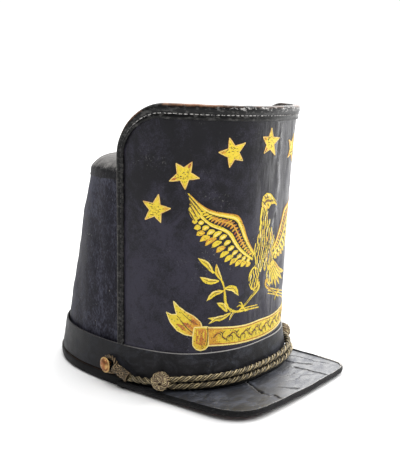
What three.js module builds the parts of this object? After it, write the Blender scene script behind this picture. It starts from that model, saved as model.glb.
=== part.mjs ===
import * as THREE from 'three';

// A tall-fronted leather shako cap: a tapered leather crown with a domed top, a high wrapped
// front plate with a bound edge, a head band, a rolled base rim, a square-cornered visor, and
// a cap cord that runs along the band from a button on one side to a button on the other.
// Sizes are in millimetres and +Z is up. The cap faces -Y, and the wearer's right is -X.
// An angle runs round the cap from the front towards the wearer's right.

// Driving dimensions.
const baseFront = 100.8; // from the centre to the front of the base
const widthRatio = 0.887; // half width over front half length
const rearRatio = 1.037; // rear half length over front half length
const plateTopHeight = 229.0; // top edge of the front plate at its sides
const bandTopHeight = 34.9;
const shoulderHeight = 169.0; // where the crown's wall turns into its top
const visorReach = 40.5; // how far the visor stands out in front of the base
const cordDiameter = 5.2;

// Plan shape: a superellipse, whose power is 2 for a plain oval and higher for a squarer one.
const basePower = 2.44;
const crownPower = 2.01;

// Leather thicknesses, and the gap between neighbouring pieces.
const bandThickness = 1.4;
const plateThickness = 2.0;
const wallThickness = 2.6;
const bindingThickness = 1.2;
const bindingBackThickness = 0.8;
const visorThickness = 3.0;
const gap = 0.4;

// Head band: a cone that leans in from the rim to its top edge.
const rimHeight = 9.0;
const rimWidth = 8.2;
const rimSection = [ // corners of the rolled rim: distance inside its outermost line, and height
  { inside: rimWidth, z: 0 },
  { inside: 2.4, z: 0 },
  { inside: 0.6, z: 1.8 },
  { inside: 0, z: 4.5 },
  { inside: 0.8, z: 8.0 },
  { inside: 2.0, z: rimHeight },
  { inside: rimWidth, z: rimHeight },
];
const bandBottomHeight = rimHeight + gap;
const bandBottomFront = 99.6;
const bandTopFront = 96.0;
const bandEdgeRound = 0.5;

// Front plate: leans forward a little, with a flare near its top edge and rounded corners.
const plateTopFront = 96.8;
const plateFlare = 2.0;
const plateLean = -2.66;
const plateEdgeAngle = degrees(84.9);
const plateCornerAngle = degrees(60);
const plateCornerRadius = 42;
const plateFrontDip = 1.8; // the top edge is this much lower in front than at the sides
const bindingSideWidth = 7;
const bindingTopWidth = 10.5;
const bindingHem = { in: 1, out: 0.8 }; // the slope at the binding's inner border
const bindingShoulder = 1.4; // where the binding's face starts, in from its own edge
const bindingHeel = 0.3; // the cut corner at its back
const leastBackShare = 0.1; // the back leg's size where the crown stands behind it
const backGrowth = { from: 3, to: 12 }; // heights above the crown's shoulder where it grows

// Crown: an oval shoulder that is set back from the base, and a shallow dome on it.
const shoulderShift = -11.7;
const shoulderRear = 70.0;
const wallBulge = 1.0;
const domeRise = 15.0;
const domePower = 6.0;
const domeShares = [0.15, 0.5, 0.75, 0.89, 0.97, 1]; // shares of the way out from its middle

// Visor: its outline's half widths, corner radius and heights of its upper face.
const visorRearY = -20;
const visorRearHalfWidth = 91.5;
const visorFrontHalfWidth = 81.5;
const visorCornerRadius = 25;
const visorBow = 1.5;
const visorRearHeight = 5.2;
const visorFrontHeight = 6.8;
const visorTwist = 1.2; // the wearer's right corner is up by this, and the left one down
const visorBindingWidth = 3.4;
const visorBindingShoulder = 1.0; // where its faces start, in from its own edge
const visorBindingTaper = 0.28; // its narrowing at the first places from each rear end
const visorTaperPlaces = 2; // how many places are narrowed

// Cap cord: places on the wearer's right, mirrored on the left. Angles are in degrees, and
// out is the distance outside the base's plan.
const knotDiameter = 15.6;
const knotPlace = { angle: 59, z: 15.5, out: 6.6 };
const slideDiameter = 8.2;
const slideRound = 1.2;
const slideFrom = { angle: 76.2, z: 12.2, out: 3.6 };
const slideTo = { angle: 82.2, z: 16.2, out: 3.6 };
const tailDiameter = 5.4;
const tailRoute = [
  { angle: 64.4, z: 13.0, out: 3.4 },
  { angle: 67.5, z: 12.2, out: 2.8 },
  { angle: 71.2, z: 11.8, out: 2.6 },
  { angle: 75.7, z: 12.0, out: 3.4 },
];
const loopDiameter = 3.0;
const loopRoute = [
  { angle: 82.7, z: 17.9, out: 1.8 },
  { angle: 84.2, z: 21.6, out: 0.4 },
  { angle: 86.5, z: 23.4, out: 0.0 },
  { angle: 88.5, z: 21.9, out: 0.0 },
  { angle: 89.5, z: 17.3, out: 0.1 },
  { angle: 88.7, z: 12.8, out: 0.7 },
  { angle: 86.9, z: 11.3, out: 1.1 },
  { angle: 84.7, z: 12.2, out: 1.3 },
  { angle: 83.1, z: 14.2, out: 1.9 },
];
const upperCordRoute = [
  { angle: 53.2, z: 15.6, out: 2.2 },
  { angle: 48, z: 15.5, out: 1.4 },
  { angle: 38, z: 15.4, out: 1.3 },
  { angle: 27, z: 15.4, out: 1.3 },
  { angle: 14, z: 15.4, out: 1.3 },
  { angle: 0, z: 15.4, out: 1.3 },
];
const lowerCordRoute = [
  { angle: 53.2, z: 9.9, out: 2.6 },
  { angle: 48, z: 9.8, out: 2.0 },
  { angle: 38, z: 9.7, out: 2.0 },
  { angle: 27, z: 9.7, out: 2.0 },
  { angle: 14, z: 9.7, out: 2.0 },
  { angle: 0, z: 9.7, out: 2.0 },
];
const buttonPlace = { angle: 87.0, z: 17.1 };
const buttonRadius = 6.6;
const shankRadius = 1.8;
const headStand = 5.0; // the button's head starts this far off the band
const headEdge = 1.2; // thickness of the head at its edge
const buttonRise = 9.0; // the dome ends this far off the band

// How finely the curved walls are divided.
const roundSteps = 56;
const wallRows = 5;
const plateSteps = { side: 6, corner: 8, top: 11 };
const visorSteps = { side: 5, corner: 8, front: 5 };
const visorRowShares = [0, 0.5, 1]; // from the visor's inner line to its outer one
const angleStep = 0.01; // for measuring along the plate
const tubeSides = 4; // for each quarter of a cord's section
const leastTubeSteps = 3;
const knotSides = { round: 14, down: 10 };
const slideSides = 12;
const buttonSides = 20;
const buttonDomeShares = [0.95, 0.8, 0.55, 0.28]; // shares of the button's radius

const leather = material(0x2b2a2e, 0.55, 0);
const wornLeather = material(0x3a393c, 0.7, 0);
const varnish = material(0x26262e, 0.35, 0);
const bindingLeather = material(0x222124, 0.6, 0);
const visorLeather = material(0x35353b, 0.45, 0);
const cordThread = material(0x8b8262, 0.6, 0.3);
const slideThread = material(0x6a5846, 0.75, 0.1);
const gilt = material(0xc58a4c, 0.35, 0.9);

function material(color, roughness, metalness) {
  return new THREE.MeshStandardMaterial({ color, roughness, metalness });
}

function degrees(value) {
  return THREE.MathUtils.degToRad(value);
}

function mix(from, to, share) {
  return THREE.MathUtils.lerp(from, to, share);
}

function signedPower(value, power) {
  return Math.sign(value) * Math.abs(value) ** power;
}

// The cap's plan at a size: its reach to the front, to each side and to the rear of its centre.
function basePlan(front) {
  return { front, half: front * widthRatio, rear: front * rearRatio, shift: 0, power: basePower };
}

// The point of a plan at an angle and a height, moved out from it.
function planPoint(plan, angle, z, out) {
  const forward = Math.cos(angle);
  const reach = (forward > 0 ? plan.front : plan.rear) + out;
  const x = -(plan.half + out) * signedPower(Math.sin(angle), 2 / plan.power);
  const y = plan.shift - reach * signedPower(forward, 2 / plan.power);
  return new THREE.Vector3(x, y, z);
}

function basePoint(place, side) {
  return planPoint(basePlan(baseFront), side * degrees(place.angle), place.z, place.out);
}

function bandFront(z) {
  return mix(bandBottomFront, bandTopFront, (z - bandBottomHeight) / (bandTopHeight - bandBottomHeight));
}

// The plan of the front plate's outside: under the band it follows the band's inside.
function platePlan(z) {
  const plateStart = bandTopFront - bandThickness - gap;
  if (z < bandTopHeight) {
    return basePlan(bandFront(z) - bandThickness - gap);
  }
  const share = (z - bandTopHeight) / (plateTopHeight - bandTopHeight);
  const plan = basePlan(mix(plateStart, plateTopFront, share) + plateFlare * share ** 4);
  plan.shift = plateLean * share;
  return plan;
}

// The plan of the outside of the crown's wall, which lies inside the plate.
function wallPlan(z) {
  const plate = platePlan(z);
  const share = THREE.MathUtils.clamp((z - bandTopHeight) / (shoulderHeight - bandTopHeight), 0, 1);
  const inset = plateThickness + 2 * gap;
  const shift = shoulderShift * share;
  const rearY = mix(platePlan(bandTopHeight).rear, shoulderRear, share);
  return {
    front: plate.front - inset - plate.shift + shift,
    half: plate.half - inset,
    rear: share > 0 ? rearY - shift + wallBulge * Math.sin(Math.PI * share) : plate.rear,
    shift,
    power: mix(basePower, crownPower, share),
  };
}

function wallPoint(angle, z, out) {
  return planPoint(wallPlan(z), angle, z, out);
}

// Two directions that span the plane of a flat outline, so that it turns left as seen in them.
function outlinePlane(outline) {
  const normal = new THREE.Vector3();
  outline.forEach((point, index) => {
    normal.add(new THREE.Vector3().crossVectors(point, outline[(index + 1) % outline.length]));
  });
  normal.normalize();
  const across = outline[1].clone().sub(outline[0]);
  across.addScaledVector(normal, -across.dot(normal)).normalize();
  return { across, up: new THREE.Vector3().crossVectors(normal, across) };
}

function flatEnd(outline) {
  const { across, up } = outlinePlane(outline);
  const flat = outline.map((point) => new THREE.Vector2(point.dot(across), point.dot(up)));
  return THREE.ShapeUtils.triangulateShape(flat, []);
}

function signedVolume(points, faces) {
  const cross = new THREE.Vector3();
  return faces.reduce((sum, [a, b, c]) => sum + points[a].dot(cross.crossVectors(points[b], points[c])) / 6, 0);
}

// Skins a solid over outlines that follow each other and have the same number of points.
// A closed run joins its last outline to its first, and an open run has a flat end at each.
function skin(outlines, closed) {
  const size = outlines[0].length;
  const points = outlines.flat();
  const faces = [];
  const runs = closed ? outlines.length : outlines.length - 1;
  for (let run = 0; run < runs; run += 1) {
    const next = (run + 1) % outlines.length;
    for (let index = 0; index < size; index += 1) {
      const after = (index + 1) % size;
      faces.push([run * size + index, run * size + after, next * size + after]);
      faces.push([run * size + index, next * size + after, next * size + index]);
    }
  }
  if (!closed) {
    const last = points.length - size;
    flatEnd(outlines[0]).forEach(([a, b, c]) => faces.push([c, b, a]));
    flatEnd(outlines.at(-1)).forEach(([a, b, c]) => faces.push([last + a, last + b, last + c]));
  }
  if (signedVolume(points, faces) < 0) {
    faces.forEach((face) => face.reverse());
  }
  const geometry = new THREE.BufferGeometry().setFromPoints(points);
  geometry.setIndex(faces.flat());
  geometry.computeVertexNormals();
  return geometry;
}

function steps(count, from, to) {
  return Array.from({ length: count + 1 }, (unused, index) => mix(from, to, index / count));
}

// Angles once round the cap, without the last, which is the first again.
function roundAngles() {
  return steps(roundSteps, 0, 2 * Math.PI).slice(0, -1);
}

function baseRim() {
  const outlines = roundAngles().map((angle) => (
    rimSection.map(({ inside, z }) => planPoint(basePlan(baseFront - inside), angle, z, 0))
  ));
  return skin(outlines, true);
}

function headBand() {
  const outlines = roundAngles().map((angle) => {
    const corner = (z, out) => planPoint(basePlan(bandFront(z)), angle, z, out);
    return [
      corner(bandBottomHeight, -bandThickness),
      corner(bandBottomHeight, 0),
      corner(bandTopHeight - bandEdgeRound, 0),
      corner(bandTopHeight, -bandEdgeRound),
      corner(bandTopHeight, -bandThickness),
    ];
  });
  return skin(outlines, true);
}

function crownBody() {
  const heights = steps(wallRows, bandTopHeight, shoulderHeight);
  heights.unshift(bandBottomHeight);
  const outlines = roundAngles().map((angle) => {
    const outside = heights.map((z) => wallPoint(angle, z, 0));
    const inside = heights.map((z) => wallPoint(angle, z, -wallThickness)).reverse();
    return [...outside, ...inside];
  });
  return skin(outlines, true);
}

// The lid of the crown: a thin dome over the shoulder's outline, open below.
function crownTop() {
  const bottom = shoulderHeight + gap;
  const centre = new THREE.Vector3(0, shoulderShift, 0);
  const ring = (share, out, drop) => roundAngles().map((angle) => {
    const point = wallPoint(angle, shoulderHeight, out).lerp(centre, 1 - share);
    point.z = bottom + domeRise * Math.sqrt(1 - share ** domePower) - drop * (share < 1);
    return point;
  });
  const inside = domeShares.map((share) => ring(share, -wallThickness, wallThickness));
  const outside = domeShares.map((share) => ring(share, 0, 0)).reverse();
  return skin([...inside, ...outside], false);
}

function plateTop(angle) {
  return plateTopHeight - plateFrontDip * Math.cos(angle) ** 2;
}

// The plate's outline from its lower right end, up the side, round the corner and over the top
// to the middle. inward is the direction into the plate, along it (x) and up it (y).
function plateHalfOutline(bottom, inset) {
  const insetAngle = inset / alongPlate(plateEdgeAngle, bandTopHeight);
  const cornerSpan = plateEdgeAngle - insetAngle - plateCornerAngle;
  const cornerZ = (angle) => plateTop(angle) - plateCornerRadius;
  const side = steps(plateSteps.side, bottom, cornerZ(plateEdgeAngle)).slice(0, -1).map((z) => (
    { angle: plateEdgeAngle - insetAngle, z, turn: Math.PI / 2 }
  ));
  const corner = steps(plateSteps.corner, Math.PI / 2, 0).map((turn) => {
    const angle = plateCornerAngle + cornerSpan * Math.sin(turn);
    return { angle, z: cornerZ(angle) + (plateCornerRadius - inset) * Math.cos(turn), turn };
  });
  const top = steps(plateSteps.top, plateCornerAngle, 0).slice(1).map((angle) => (
    { angle, z: plateTop(angle) - inset, turn: 0 }
  ));
  return [...side, ...corner, ...top];
}

// Millimetres along the plate for each radian at an angle.
function alongPlate(angle, z) {
  const plan = platePlan(z);
  const before = planPoint(plan, angle - angleStep, z, 0);
  return planPoint(plan, angle + angleStep, z, 0).distanceTo(before) / (2 * angleStep);
}

function frontPlate() {
  const corner = plateHalfOutline(bandTopHeight + gap, bindingThickness + gap);
  const right = corner.filter(({ turn }, index) => turn < Math.PI / 2 || corner[index + 1].turn < Math.PI / 2);
  const left = right.slice(0, -1).reverse().map(({ angle, z }) => ({ angle: -angle, z }));
  const outlines = [...right, ...left].map(({ angle, z: top }) => {
    const heights = [bandBottomHeight, ...steps(wallRows, bandTopHeight, top)];
    const outside = heights.map((z) => planPoint(platePlan(z), angle, z, 0));
    const inside = heights.map((z) => planPoint(platePlan(z), angle, z, -plateThickness)).reverse();
    return [...outside, ...inside];
  });
  return skin(outlines, false);
}

// The binding's section: a channel round the plate's edge, whose back leg has a share of its
// full size. in is the distance into the plate from the binding's own edge, and out is the
// distance outside the plate's outside.
function bindingSection(width, share) {
  const face = gap + bindingThickness;
  const back = -plateThickness - gap * share;
  const behind = back - bindingBackThickness * share;
  const leg = mix(bindingThickness, width, share);
  return [
    { in: width, out: gap },
    { in: width, out: gap + bindingHem.out },
    { in: width - bindingHem.in, out: face },
    { in: bindingShoulder, out: face },
    { in: 0, out: gap },
    { in: 0, out: behind + bindingHeel },
    { in: bindingHeel, out: behind },
    { in: leg, out: behind },
    { in: leg, out: back },
    { in: bindingThickness, out: back },
    { in: bindingThickness, out: gap },
  ];
}

// The back leg grows to its full size above the crown, where the plate stands free.
function backShare(z) {
  const above = z - shoulderHeight;
  return mix(leastBackShare, 1, THREE.MathUtils.smoothstep(above, backGrowth.from, backGrowth.to));
}

function frontBinding() {
  const right = plateHalfOutline(bandTopHeight + gap, 0);
  const left = right.slice(0, -1).reverse().map((row) => ({ ...row, mirrored: true }));
  const outlines = [...right, ...left].map(({ angle, z, turn, mirrored }) => {
    const width = mix(bindingTopWidth, bindingSideWidth, Math.sin(turn));
    return bindingSection(width, backShare(z)).map((corner) => {
      const inAngle = angle - (corner.in * Math.sin(turn)) / alongPlate(angle, z);
      const height = z - corner.in * Math.cos(turn);
      const point = planPoint(platePlan(height), inAngle, height, corner.out);
      return mirrored ? point.setX(-point.x) : point;
    });
  });
  return skin(outlines, false);
}

// The visor's outer outline, from its rear end on the wearer's right to the one on the left.
function visorOutline(inset) {
  const frontY = -(baseFront + visorReach) + inset;
  const rear = new THREE.Vector2(-visorRearHalfWidth + inset, visorRearY);
  const corner = new THREE.Vector2(-visorFrontHalfWidth + inset, frontY);
  const back = rear.clone().sub(corner).normalize();
  const halfTurn = (Math.PI - Math.acos(-back.x)) / 2;
  const radius = visorCornerRadius - inset;
  const cut = radius * Math.tan(halfTurn);
  const tangent = corner.clone().addScaledVector(back, cut);
  const path = new THREE.Path().moveTo(rear.x, rear.y).lineTo(tangent.x, tangent.y);
  path.quadraticCurveTo(corner.x, corner.y, corner.x + cut, corner.y);
  const points = path.getPoints(visorSteps.corner);
  const middle = steps(visorSteps.front, corner.x + cut, 0).slice(1).map((x) => (
    new THREE.Vector2(x, corner.y - visorBow * (1 - (x / (corner.x + cut)) ** 2))
  ));
  const sideSteps = steps(visorSteps.side, 0, 1).slice(1, -1).map((share) => rear.clone().lerp(tangent, share));
  const right = [points[0], ...sideSteps, ...points.slice(1), ...middle];
  const left = right.slice(0, -1).reverse().map(({ x, y }) => new THREE.Vector2(-x, y));
  return [...right, ...left];
}

// The height of the visor's upper face.
function visorHeight(x, y) {
  const forward = (visorRearY - y) / (baseFront + visorReach + visorRearY);
  const twist = -visorTwist * (x / visorFrontHalfWidth) * forward;
  return mix(visorRearHeight, visorFrontHeight, forward) + twist;
}

function visorPoint(x, y, down) {
  return new THREE.Vector3(x, y, visorHeight(x, y) - down);
}

function visor() {
  const outer = visorOutline(bindingThickness + gap);
  const plan = basePlan(baseFront);
  const endShare = Math.asin(Math.abs(visorRearY / plan.front) ** (plan.power / 2));
  const inner = steps(outer.length - 1, Math.PI / 2 - endShare, endShare - Math.PI / 2).map((angle) => (
    planPoint(plan, angle, 0, gap)
  ));
  const outlines = outer.map((edge, index) => {
    const across = visorRowShares.map((share) => (
      { x: mix(inner[index].x, edge.x, share), y: mix(inner[index].y, edge.y, share) }
    ));
    const above = across.map(({ x, y }) => visorPoint(x, y, 0));
    const below = across.map(({ x, y }) => visorPoint(x, y, visorThickness)).reverse();
    return [...above, ...below];
  });
  return skin(outlines, false);
}

// A channel of leather round the visor's outer edge.
function visorBinding() {
  const insets = [0, visorBindingShoulder, bindingThickness, visorBindingWidth];
  const [edge, shoulder, lining, inside] = insets.map(visorOutline);
  const lift = bindingThickness / 2;
  const outlines = edge.map((unused, index) => {
    const fromRear = Math.min(index, edge.length - 1 - index);
    const narrowing = visorBindingTaper * Math.max(0, visorTaperPlaces - fromRear);
    const end = inside.map((point, at) => point.clone().lerp(edge[at], narrowing));
    const place = (row, down) => visorPoint(row[index].x, row[index].y, down);
    const lower = visorThickness + gap;
    return [
      place(end, -gap),
      place(end, -lift),
      place(shoulder, -gap - lift),
      place(edge, gap),
      place(edge, visorThickness - gap),
      place(shoulder, lower + lift),
      place(end, lower + lift - gap),
      place(end, lower),
      place(lining, lower),
      place(lining, -gap),
    ];
  });
  return skin(outlines, false);
}

function tube(route, diameter, stepLength) {
  const path = new THREE.CatmullRomCurve3(route);
  const section = new THREE.Shape().absarc(0, 0, diameter / 2, 0, 2 * Math.PI, false);
  const count = Math.max(leastTubeSteps, Math.round(path.getLength() / stepLength));
  return new THREE.ExtrudeGeometry(section, {
    steps: count,
    curveSegments: tubeSides,
    bevelEnabled: false,
    extrudePath: path,
  });
}

// One run of the cord, from the knot on the wearer's right to the one on the left.
function cordRun(route) {
  const right = route.map((place) => basePoint(place, 1));
  const left = route.slice(0, -1).reverse().map((place) => basePoint(place, -1));
  return tube([...right, ...left], cordDiameter, 2 * cordDiameter);
}

function knot() {
  return new THREE.SphereGeometry(knotDiameter / 2, knotSides.round, knotSides.down);
}

function slide(length) {
  const radius = slideDiameter / 2;
  return new THREE.LatheGeometry([
    new THREE.Vector2(0, 0),
    new THREE.Vector2(radius - slideRound, 0),
    new THREE.Vector2(radius, slideRound),
    new THREE.Vector2(radius, length - slideRound),
    new THREE.Vector2(radius - slideRound, length),
    new THREE.Vector2(0, length),
  ], slideSides);
}

function button() {
  const brim = headStand + headEdge;
  const dome = buttonDomeShares.map((share) => (
    new THREE.Vector2(buttonRadius * share, mix(brim, buttonRise, Math.sqrt(1 - share ** 2)))
  ));
  return new THREE.LatheGeometry([
    new THREE.Vector2(0, gap),
    new THREE.Vector2(shankRadius, gap),
    new THREE.Vector2(shankRadius, headStand),
    new THREE.Vector2(buttonRadius - headEdge / 2, headStand),
    new THREE.Vector2(buttonRadius, headStand + headEdge / 2),
    new THREE.Vector2(buttonRadius, brim),
    ...dome,
    new THREE.Vector2(0, buttonRise),
  ], buttonSides);
}

const cap = new THREE.Group();

function add(name, geometry, finish) {
  const mesh = new THREE.Mesh(geometry, finish);
  mesh.name = name;
  cap.add(mesh);
  return mesh;
}

// Stands a turned piece at a point with its axis along a direction.
function stand(mesh, point, direction) {
  mesh.position.copy(point);
  mesh.quaternion.setFromUnitVectors(new THREE.Vector3(0, 1, 0), direction.normalize());
}

add('base_rim', baseRim(), bindingLeather);
add('head_band', headBand(), leather);
add('crown_body', crownBody(), wornLeather);
add('crown_top', crownTop(), wornLeather);
add('front_plate', frontPlate(), varnish);
add('front_binding', frontBinding(), bindingLeather);
add('visor', visor(), visorLeather);
add('visor_binding', visorBinding(), bindingLeather);

for (const [name, side] of [['right', 1], ['left', -1]]) {
  const angle = side * degrees(buttonPlace.angle);
  const band = basePlan(bandFront(buttonPlace.z));
  const foot = planPoint(band, angle, buttonPlace.z, 0);
  const outward = planPoint(band, angle, buttonPlace.z, 1).sub(foot);
  stand(add(`button_${name}`, button(), gilt), foot, outward);
}

// The origin is under the middle of the box round the hat itself, at the height of its base.
const box = new THREE.Box3().setFromObject(cap);
cap.position.y = -(box.min.y + box.max.y) / 2;

add('cord_upper', cordRun(upperCordRoute), cordThread);
add('cord_lower', cordRun(lowerCordRoute), cordThread);
for (const [name, side] of [['right', 1], ['left', -1]]) {
  add(`knot_${name}`, knot(), cordThread).position.copy(basePoint(knotPlace, side));
  const from = basePoint(slideFrom, side);
  const axis = basePoint(slideTo, side).sub(from);
  stand(add(`slide_${name}`, slide(axis.length()), slideThread), from, axis);
  const tail = tailRoute.map((place) => basePoint(place, side));
  add(`cord_tail_${name}`, tube(tail, tailDiameter, 2 * tailDiameter), cordThread);
  const loop = loopRoute.map((place) => basePoint(place, side));
  add(`cord_loop_${name}`, tube(loop, loopDiameter, loopDiameter), cordThread);
}

export default cap;
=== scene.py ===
import math

import bmesh
import bpy
import numpy as np
from mathutils import Matrix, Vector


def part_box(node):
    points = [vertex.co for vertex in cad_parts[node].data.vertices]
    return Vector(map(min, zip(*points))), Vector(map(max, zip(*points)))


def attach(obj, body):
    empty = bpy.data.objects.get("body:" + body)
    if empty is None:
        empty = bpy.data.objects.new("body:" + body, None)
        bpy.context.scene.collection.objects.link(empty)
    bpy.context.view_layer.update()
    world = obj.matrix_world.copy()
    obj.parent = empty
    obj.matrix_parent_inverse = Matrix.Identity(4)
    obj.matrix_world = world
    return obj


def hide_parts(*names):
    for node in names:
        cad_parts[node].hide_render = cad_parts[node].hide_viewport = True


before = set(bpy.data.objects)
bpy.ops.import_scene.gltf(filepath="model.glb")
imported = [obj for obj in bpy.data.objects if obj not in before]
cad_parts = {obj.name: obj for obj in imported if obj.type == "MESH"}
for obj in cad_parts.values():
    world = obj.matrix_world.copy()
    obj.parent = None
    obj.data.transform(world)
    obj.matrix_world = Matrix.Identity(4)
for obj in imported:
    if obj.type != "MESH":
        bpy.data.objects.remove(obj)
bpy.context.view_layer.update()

bl_info = {
    "name": "Tall-fronted leather cap",
    "version": (1, 0, 0),
    "blender": (4, 5, 0),
    "location": "3D View > Sidebar > Leather Cap",
    "description": "Builds a painted leather militia cap, piece by piece, round its packed frame",
    "category": "Add Mesh",
}

BODY = "root"
TO_METRES = 0.001


# Shape of the cap, in millimetres in the row frame. An angle runs round the cap from the front
# (-Y) towards the wearer's right (-X).

def box_mm(node):
    """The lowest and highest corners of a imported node, in millimetres."""
    low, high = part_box(node)
    return low / TO_METRES, high / TO_METRES


RIM_LOW, RIM_HIGH = box_mm("base_rim")
BAND_LOW, BAND_HIGH = box_mm("head_band")
CROWN_HIGH = box_mm("crown_body")[1]
TOP_LOW, TOP_HIGH = box_mm("crown_top")
PEAK_LOW, PEAK_HIGH = box_mm("visor_binding")
KNOT_LOW, KNOT_HIGH = box_mm("knot_right")

REAR_RATIO = 1.037
BASE_FRONT = (RIM_HIGH.y - RIM_LOW.y) / (1 + REAR_RATIO)
CENTRE_Y = RIM_LOW.y + BASE_FRONT
WIDTH_RATIO = RIM_HIGH.x / BASE_FRONT
BASE_POWER = 2.44
CROWN_POWER = 2.01

GAP = 0.4
BAND_THICKNESS = 1.4
PLATE_THICKNESS = 2.0
WALL_THICKNESS = 2.6
BINDING_THICKNESS = 1.2
BINDING_BACK = 0.8
VISOR_THICKNESS = 3.0

BAND_BOTTOM = BAND_LOW.z
BAND_TOP = BAND_HIGH.z
BAND_BOTTOM_FRONT = CENTRE_Y - BAND_LOW.y
BAND_TOP_FRONT = 96.0
PLATE_START = BAND_TOP_FRONT - BAND_THICKNESS - GAP
PLATE_FRONT_DIP = 1.8
PLATE_TOP = 229.0
PLATE_TOP_FRONT = 96.8
PLATE_FLARE = 2.0
PLATE_LEAN = -2.66
PLATE_EDGE = math.radians(84.9)
PLATE_CORNER = math.radians(60)
CORNER_RADIUS = 42
BINDING_SIDE_WIDTH = 7.6
BINDING_TOP_WIDTH = 11.6

SHOULDER = CROWN_HIGH.z
SHOULDER_SHIFT = -11.7
SHOULDER_REAR = 70.0
WALL_BULGE = 1.0
DOME_BOTTOM = TOP_LOW.z
DOME_RISE = TOP_HIGH.z - TOP_LOW.z
DOME_POWER = 9.0

VISOR_REACH = RIM_LOW.y - PEAK_LOW.y
VISOR_REAR_Y = CENTRE_Y - 20
VISOR_REAR_HALF = PEAK_HIGH.x
VISOR_FRONT_HALF = 81.5
VISOR_CORNER = 32
VISOR_FAR_HALF = 71.5
VISOR_FAR_CORNER = 21
VISOR_BOW = 1.5
VISOR_REAR_HEIGHT = 5.2
VISOR_FRONT_HEIGHT = 6.8
VISOR_TWIST = 1.2
VISOR_EDGE_WIDTH = 3.4

UPPER_CORD_ROUTE = [  # angle in degrees, height, distance outside the base's plan
    (56.6, 15.0, 3.6), (53.2, 15.9, 2.6), (48, 16.4, 1.6), (38, 17.0, 1.4), (27, 17.6, 1.4), (14, 18.0, 1.5),
    (0, 18.4, 1.4), (-14, 18.9, 1.2), (-27, 19.3, 1.0), (-38, 18.8, 1.0), (-48, 17.2, 1.4),
    (-53.2, 15.9, 2.6), (-56.6, 15.0, 3.6),
]
LOWER_CORD_ROUTE = [
    (56.6, 11.2, 3.6), (53.2, 10.3, 2.7), (48, 10.6, 2.0), (38, 11.3, 2.0), (27, 12.0, 2.1), (14, 12.4, 2.2),
    (0, 12.8, 2.3), (-14, 13.2, 2.5), (-27, 13.6, 2.9), (-38, 13.0, 2.9), (-48, 11.4, 2.5),
    (-53.2, 10.3, 2.7), (-56.6, 11.2, 3.6),
]
TAIL_ROUTE = [(62.4, 13.0, 3.6), (64.4, 13.0, 3.4), (67.5, 12.2, 2.8), (71.2, 11.8, 2.6), (75.7, 12.0, 3.4)]
LOOP_ROUTE = [
    (82.7, 17.9, 1.8), (84.2, 21.6, 0.4), (86.5, 23.4, 0.0), (88.5, 21.9, 0.0), (89.5, 17.3, 0.1),
    (88.7, 12.8, 0.7), (86.9, 11.3, 1.1), (84.7, 12.2, 1.3), (83.1, 14.2, 1.9),
]
SLIDE_ENDS = [(76.0, 12.0, 3.6), (83.2, 17.8, 3.4)]
BUTTON_PLACE = (87.0, 17.1)
BUTTON_SLANT = 0.24


def mix(start, stop, share):
    return start + (stop - start) * share


def smooth_share(value, low, high):
    """0 below low, 1 above high, and a smooth rise between them."""
    share = np.clip((value - low) / (high - low), 0, 1)
    return share * share * (3 - 2 * share)


def signed_power(value, power):
    return np.sign(value) * np.abs(value) ** power


class Plan:
    """A superellipse seen from above: its reaches, how far back it is set, and its squareness."""

    def __init__(self, front, half, rear, shift, power):
        self.front = front
        self.half = half
        self.rear = rear
        self.shift = shift
        self.power = power

    def point(self, angle, z, out=0.0):
        """The point at an angle and height, moved out from the plan."""
        forward = np.cos(angle)
        reach = np.where(forward > 0, self.front, self.rear) + out
        x = -(self.half + out) * signed_power(np.sin(angle), 2 / self.power)
        y = CENTRE_Y + self.shift - reach * signed_power(forward, 2 / self.power)
        return np.stack(np.broadcast_arrays(x, y, z), -1).astype(float)


def base_plan(front):
    return Plan(front, front * WIDTH_RATIO, front * REAR_RATIO, 0.0, BASE_POWER)


def band_front(z):
    return mix(BAND_BOTTOM_FRONT, BAND_TOP_FRONT, (z - BAND_BOTTOM) / (BAND_TOP - BAND_BOTTOM))


def plate_plan(z):
    """The plan of the front plate's outside. Under the band it follows the band's inside."""
    z = np.asarray(z, float)
    share = np.clip((z - BAND_TOP) / (PLATE_TOP - BAND_TOP), 0, None)
    above = mix(PLATE_START, PLATE_TOP_FRONT, share) + PLATE_FLARE * share ** 4
    front = np.where(z < BAND_TOP, band_front(z) - BAND_THICKNESS - GAP, above)
    plan = base_plan(front)
    plan.shift = PLATE_LEAN * share
    return plan


def wall_plan(z):
    """The plan of the outside of the crown's wall."""
    z = np.asarray(z, float)
    plate = plate_plan(z)
    share = np.clip((z - BAND_TOP) / (SHOULDER - BAND_TOP), 0, 1)
    inset = PLATE_THICKNESS + 2 * GAP
    shift = SHOULDER_SHIFT * share
    rear_y = mix(PLATE_START * REAR_RATIO, SHOULDER_REAR, share)
    return Plan(
        plate.front - inset - plate.shift + shift,
        plate.half - inset,
        np.where(share > 0, rear_y - shift + WALL_BULGE * np.sin(np.pi * share), plate.rear),
        shift,
        mix(BASE_POWER, CROWN_POWER, share),
    )


def base_point(place, side):
    """A place given as angle, height and distance outside the base's plan, on one side."""
    angle, z, out = place
    return base_plan(BASE_FRONT).point(side * math.radians(angle), z, out)


def bend(start, corner, stop, t):
    """Places on the smooth bend that cuts a corner, at a share t of the way round it."""
    return (1 - t) ** 2 * start + 2 * t * (1 - t) * corner + t * t * stop


def unit(vectors):
    return vectors / np.maximum(np.linalg.norm(vectors, axis=-1, keepdims=True), 1e-12)


def ripple(points, size, seed):
    """Smooth, repeatable unevenness over points, about -1 to 1, with features of a size in mm."""
    random = np.random.default_rng(seed)
    waves = 16
    directions = unit(random.normal(size=(waves, 3)))
    lengths = size * random.uniform(0.7, 1.8, waves)
    phases = random.uniform(0, 2 * np.pi, waves)
    turns = np.asarray(points) @ (directions / lengths[:, None]).T * 2 * np.pi + phases
    return np.sin(turns).sum(-1) / math.sqrt(waves)


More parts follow.
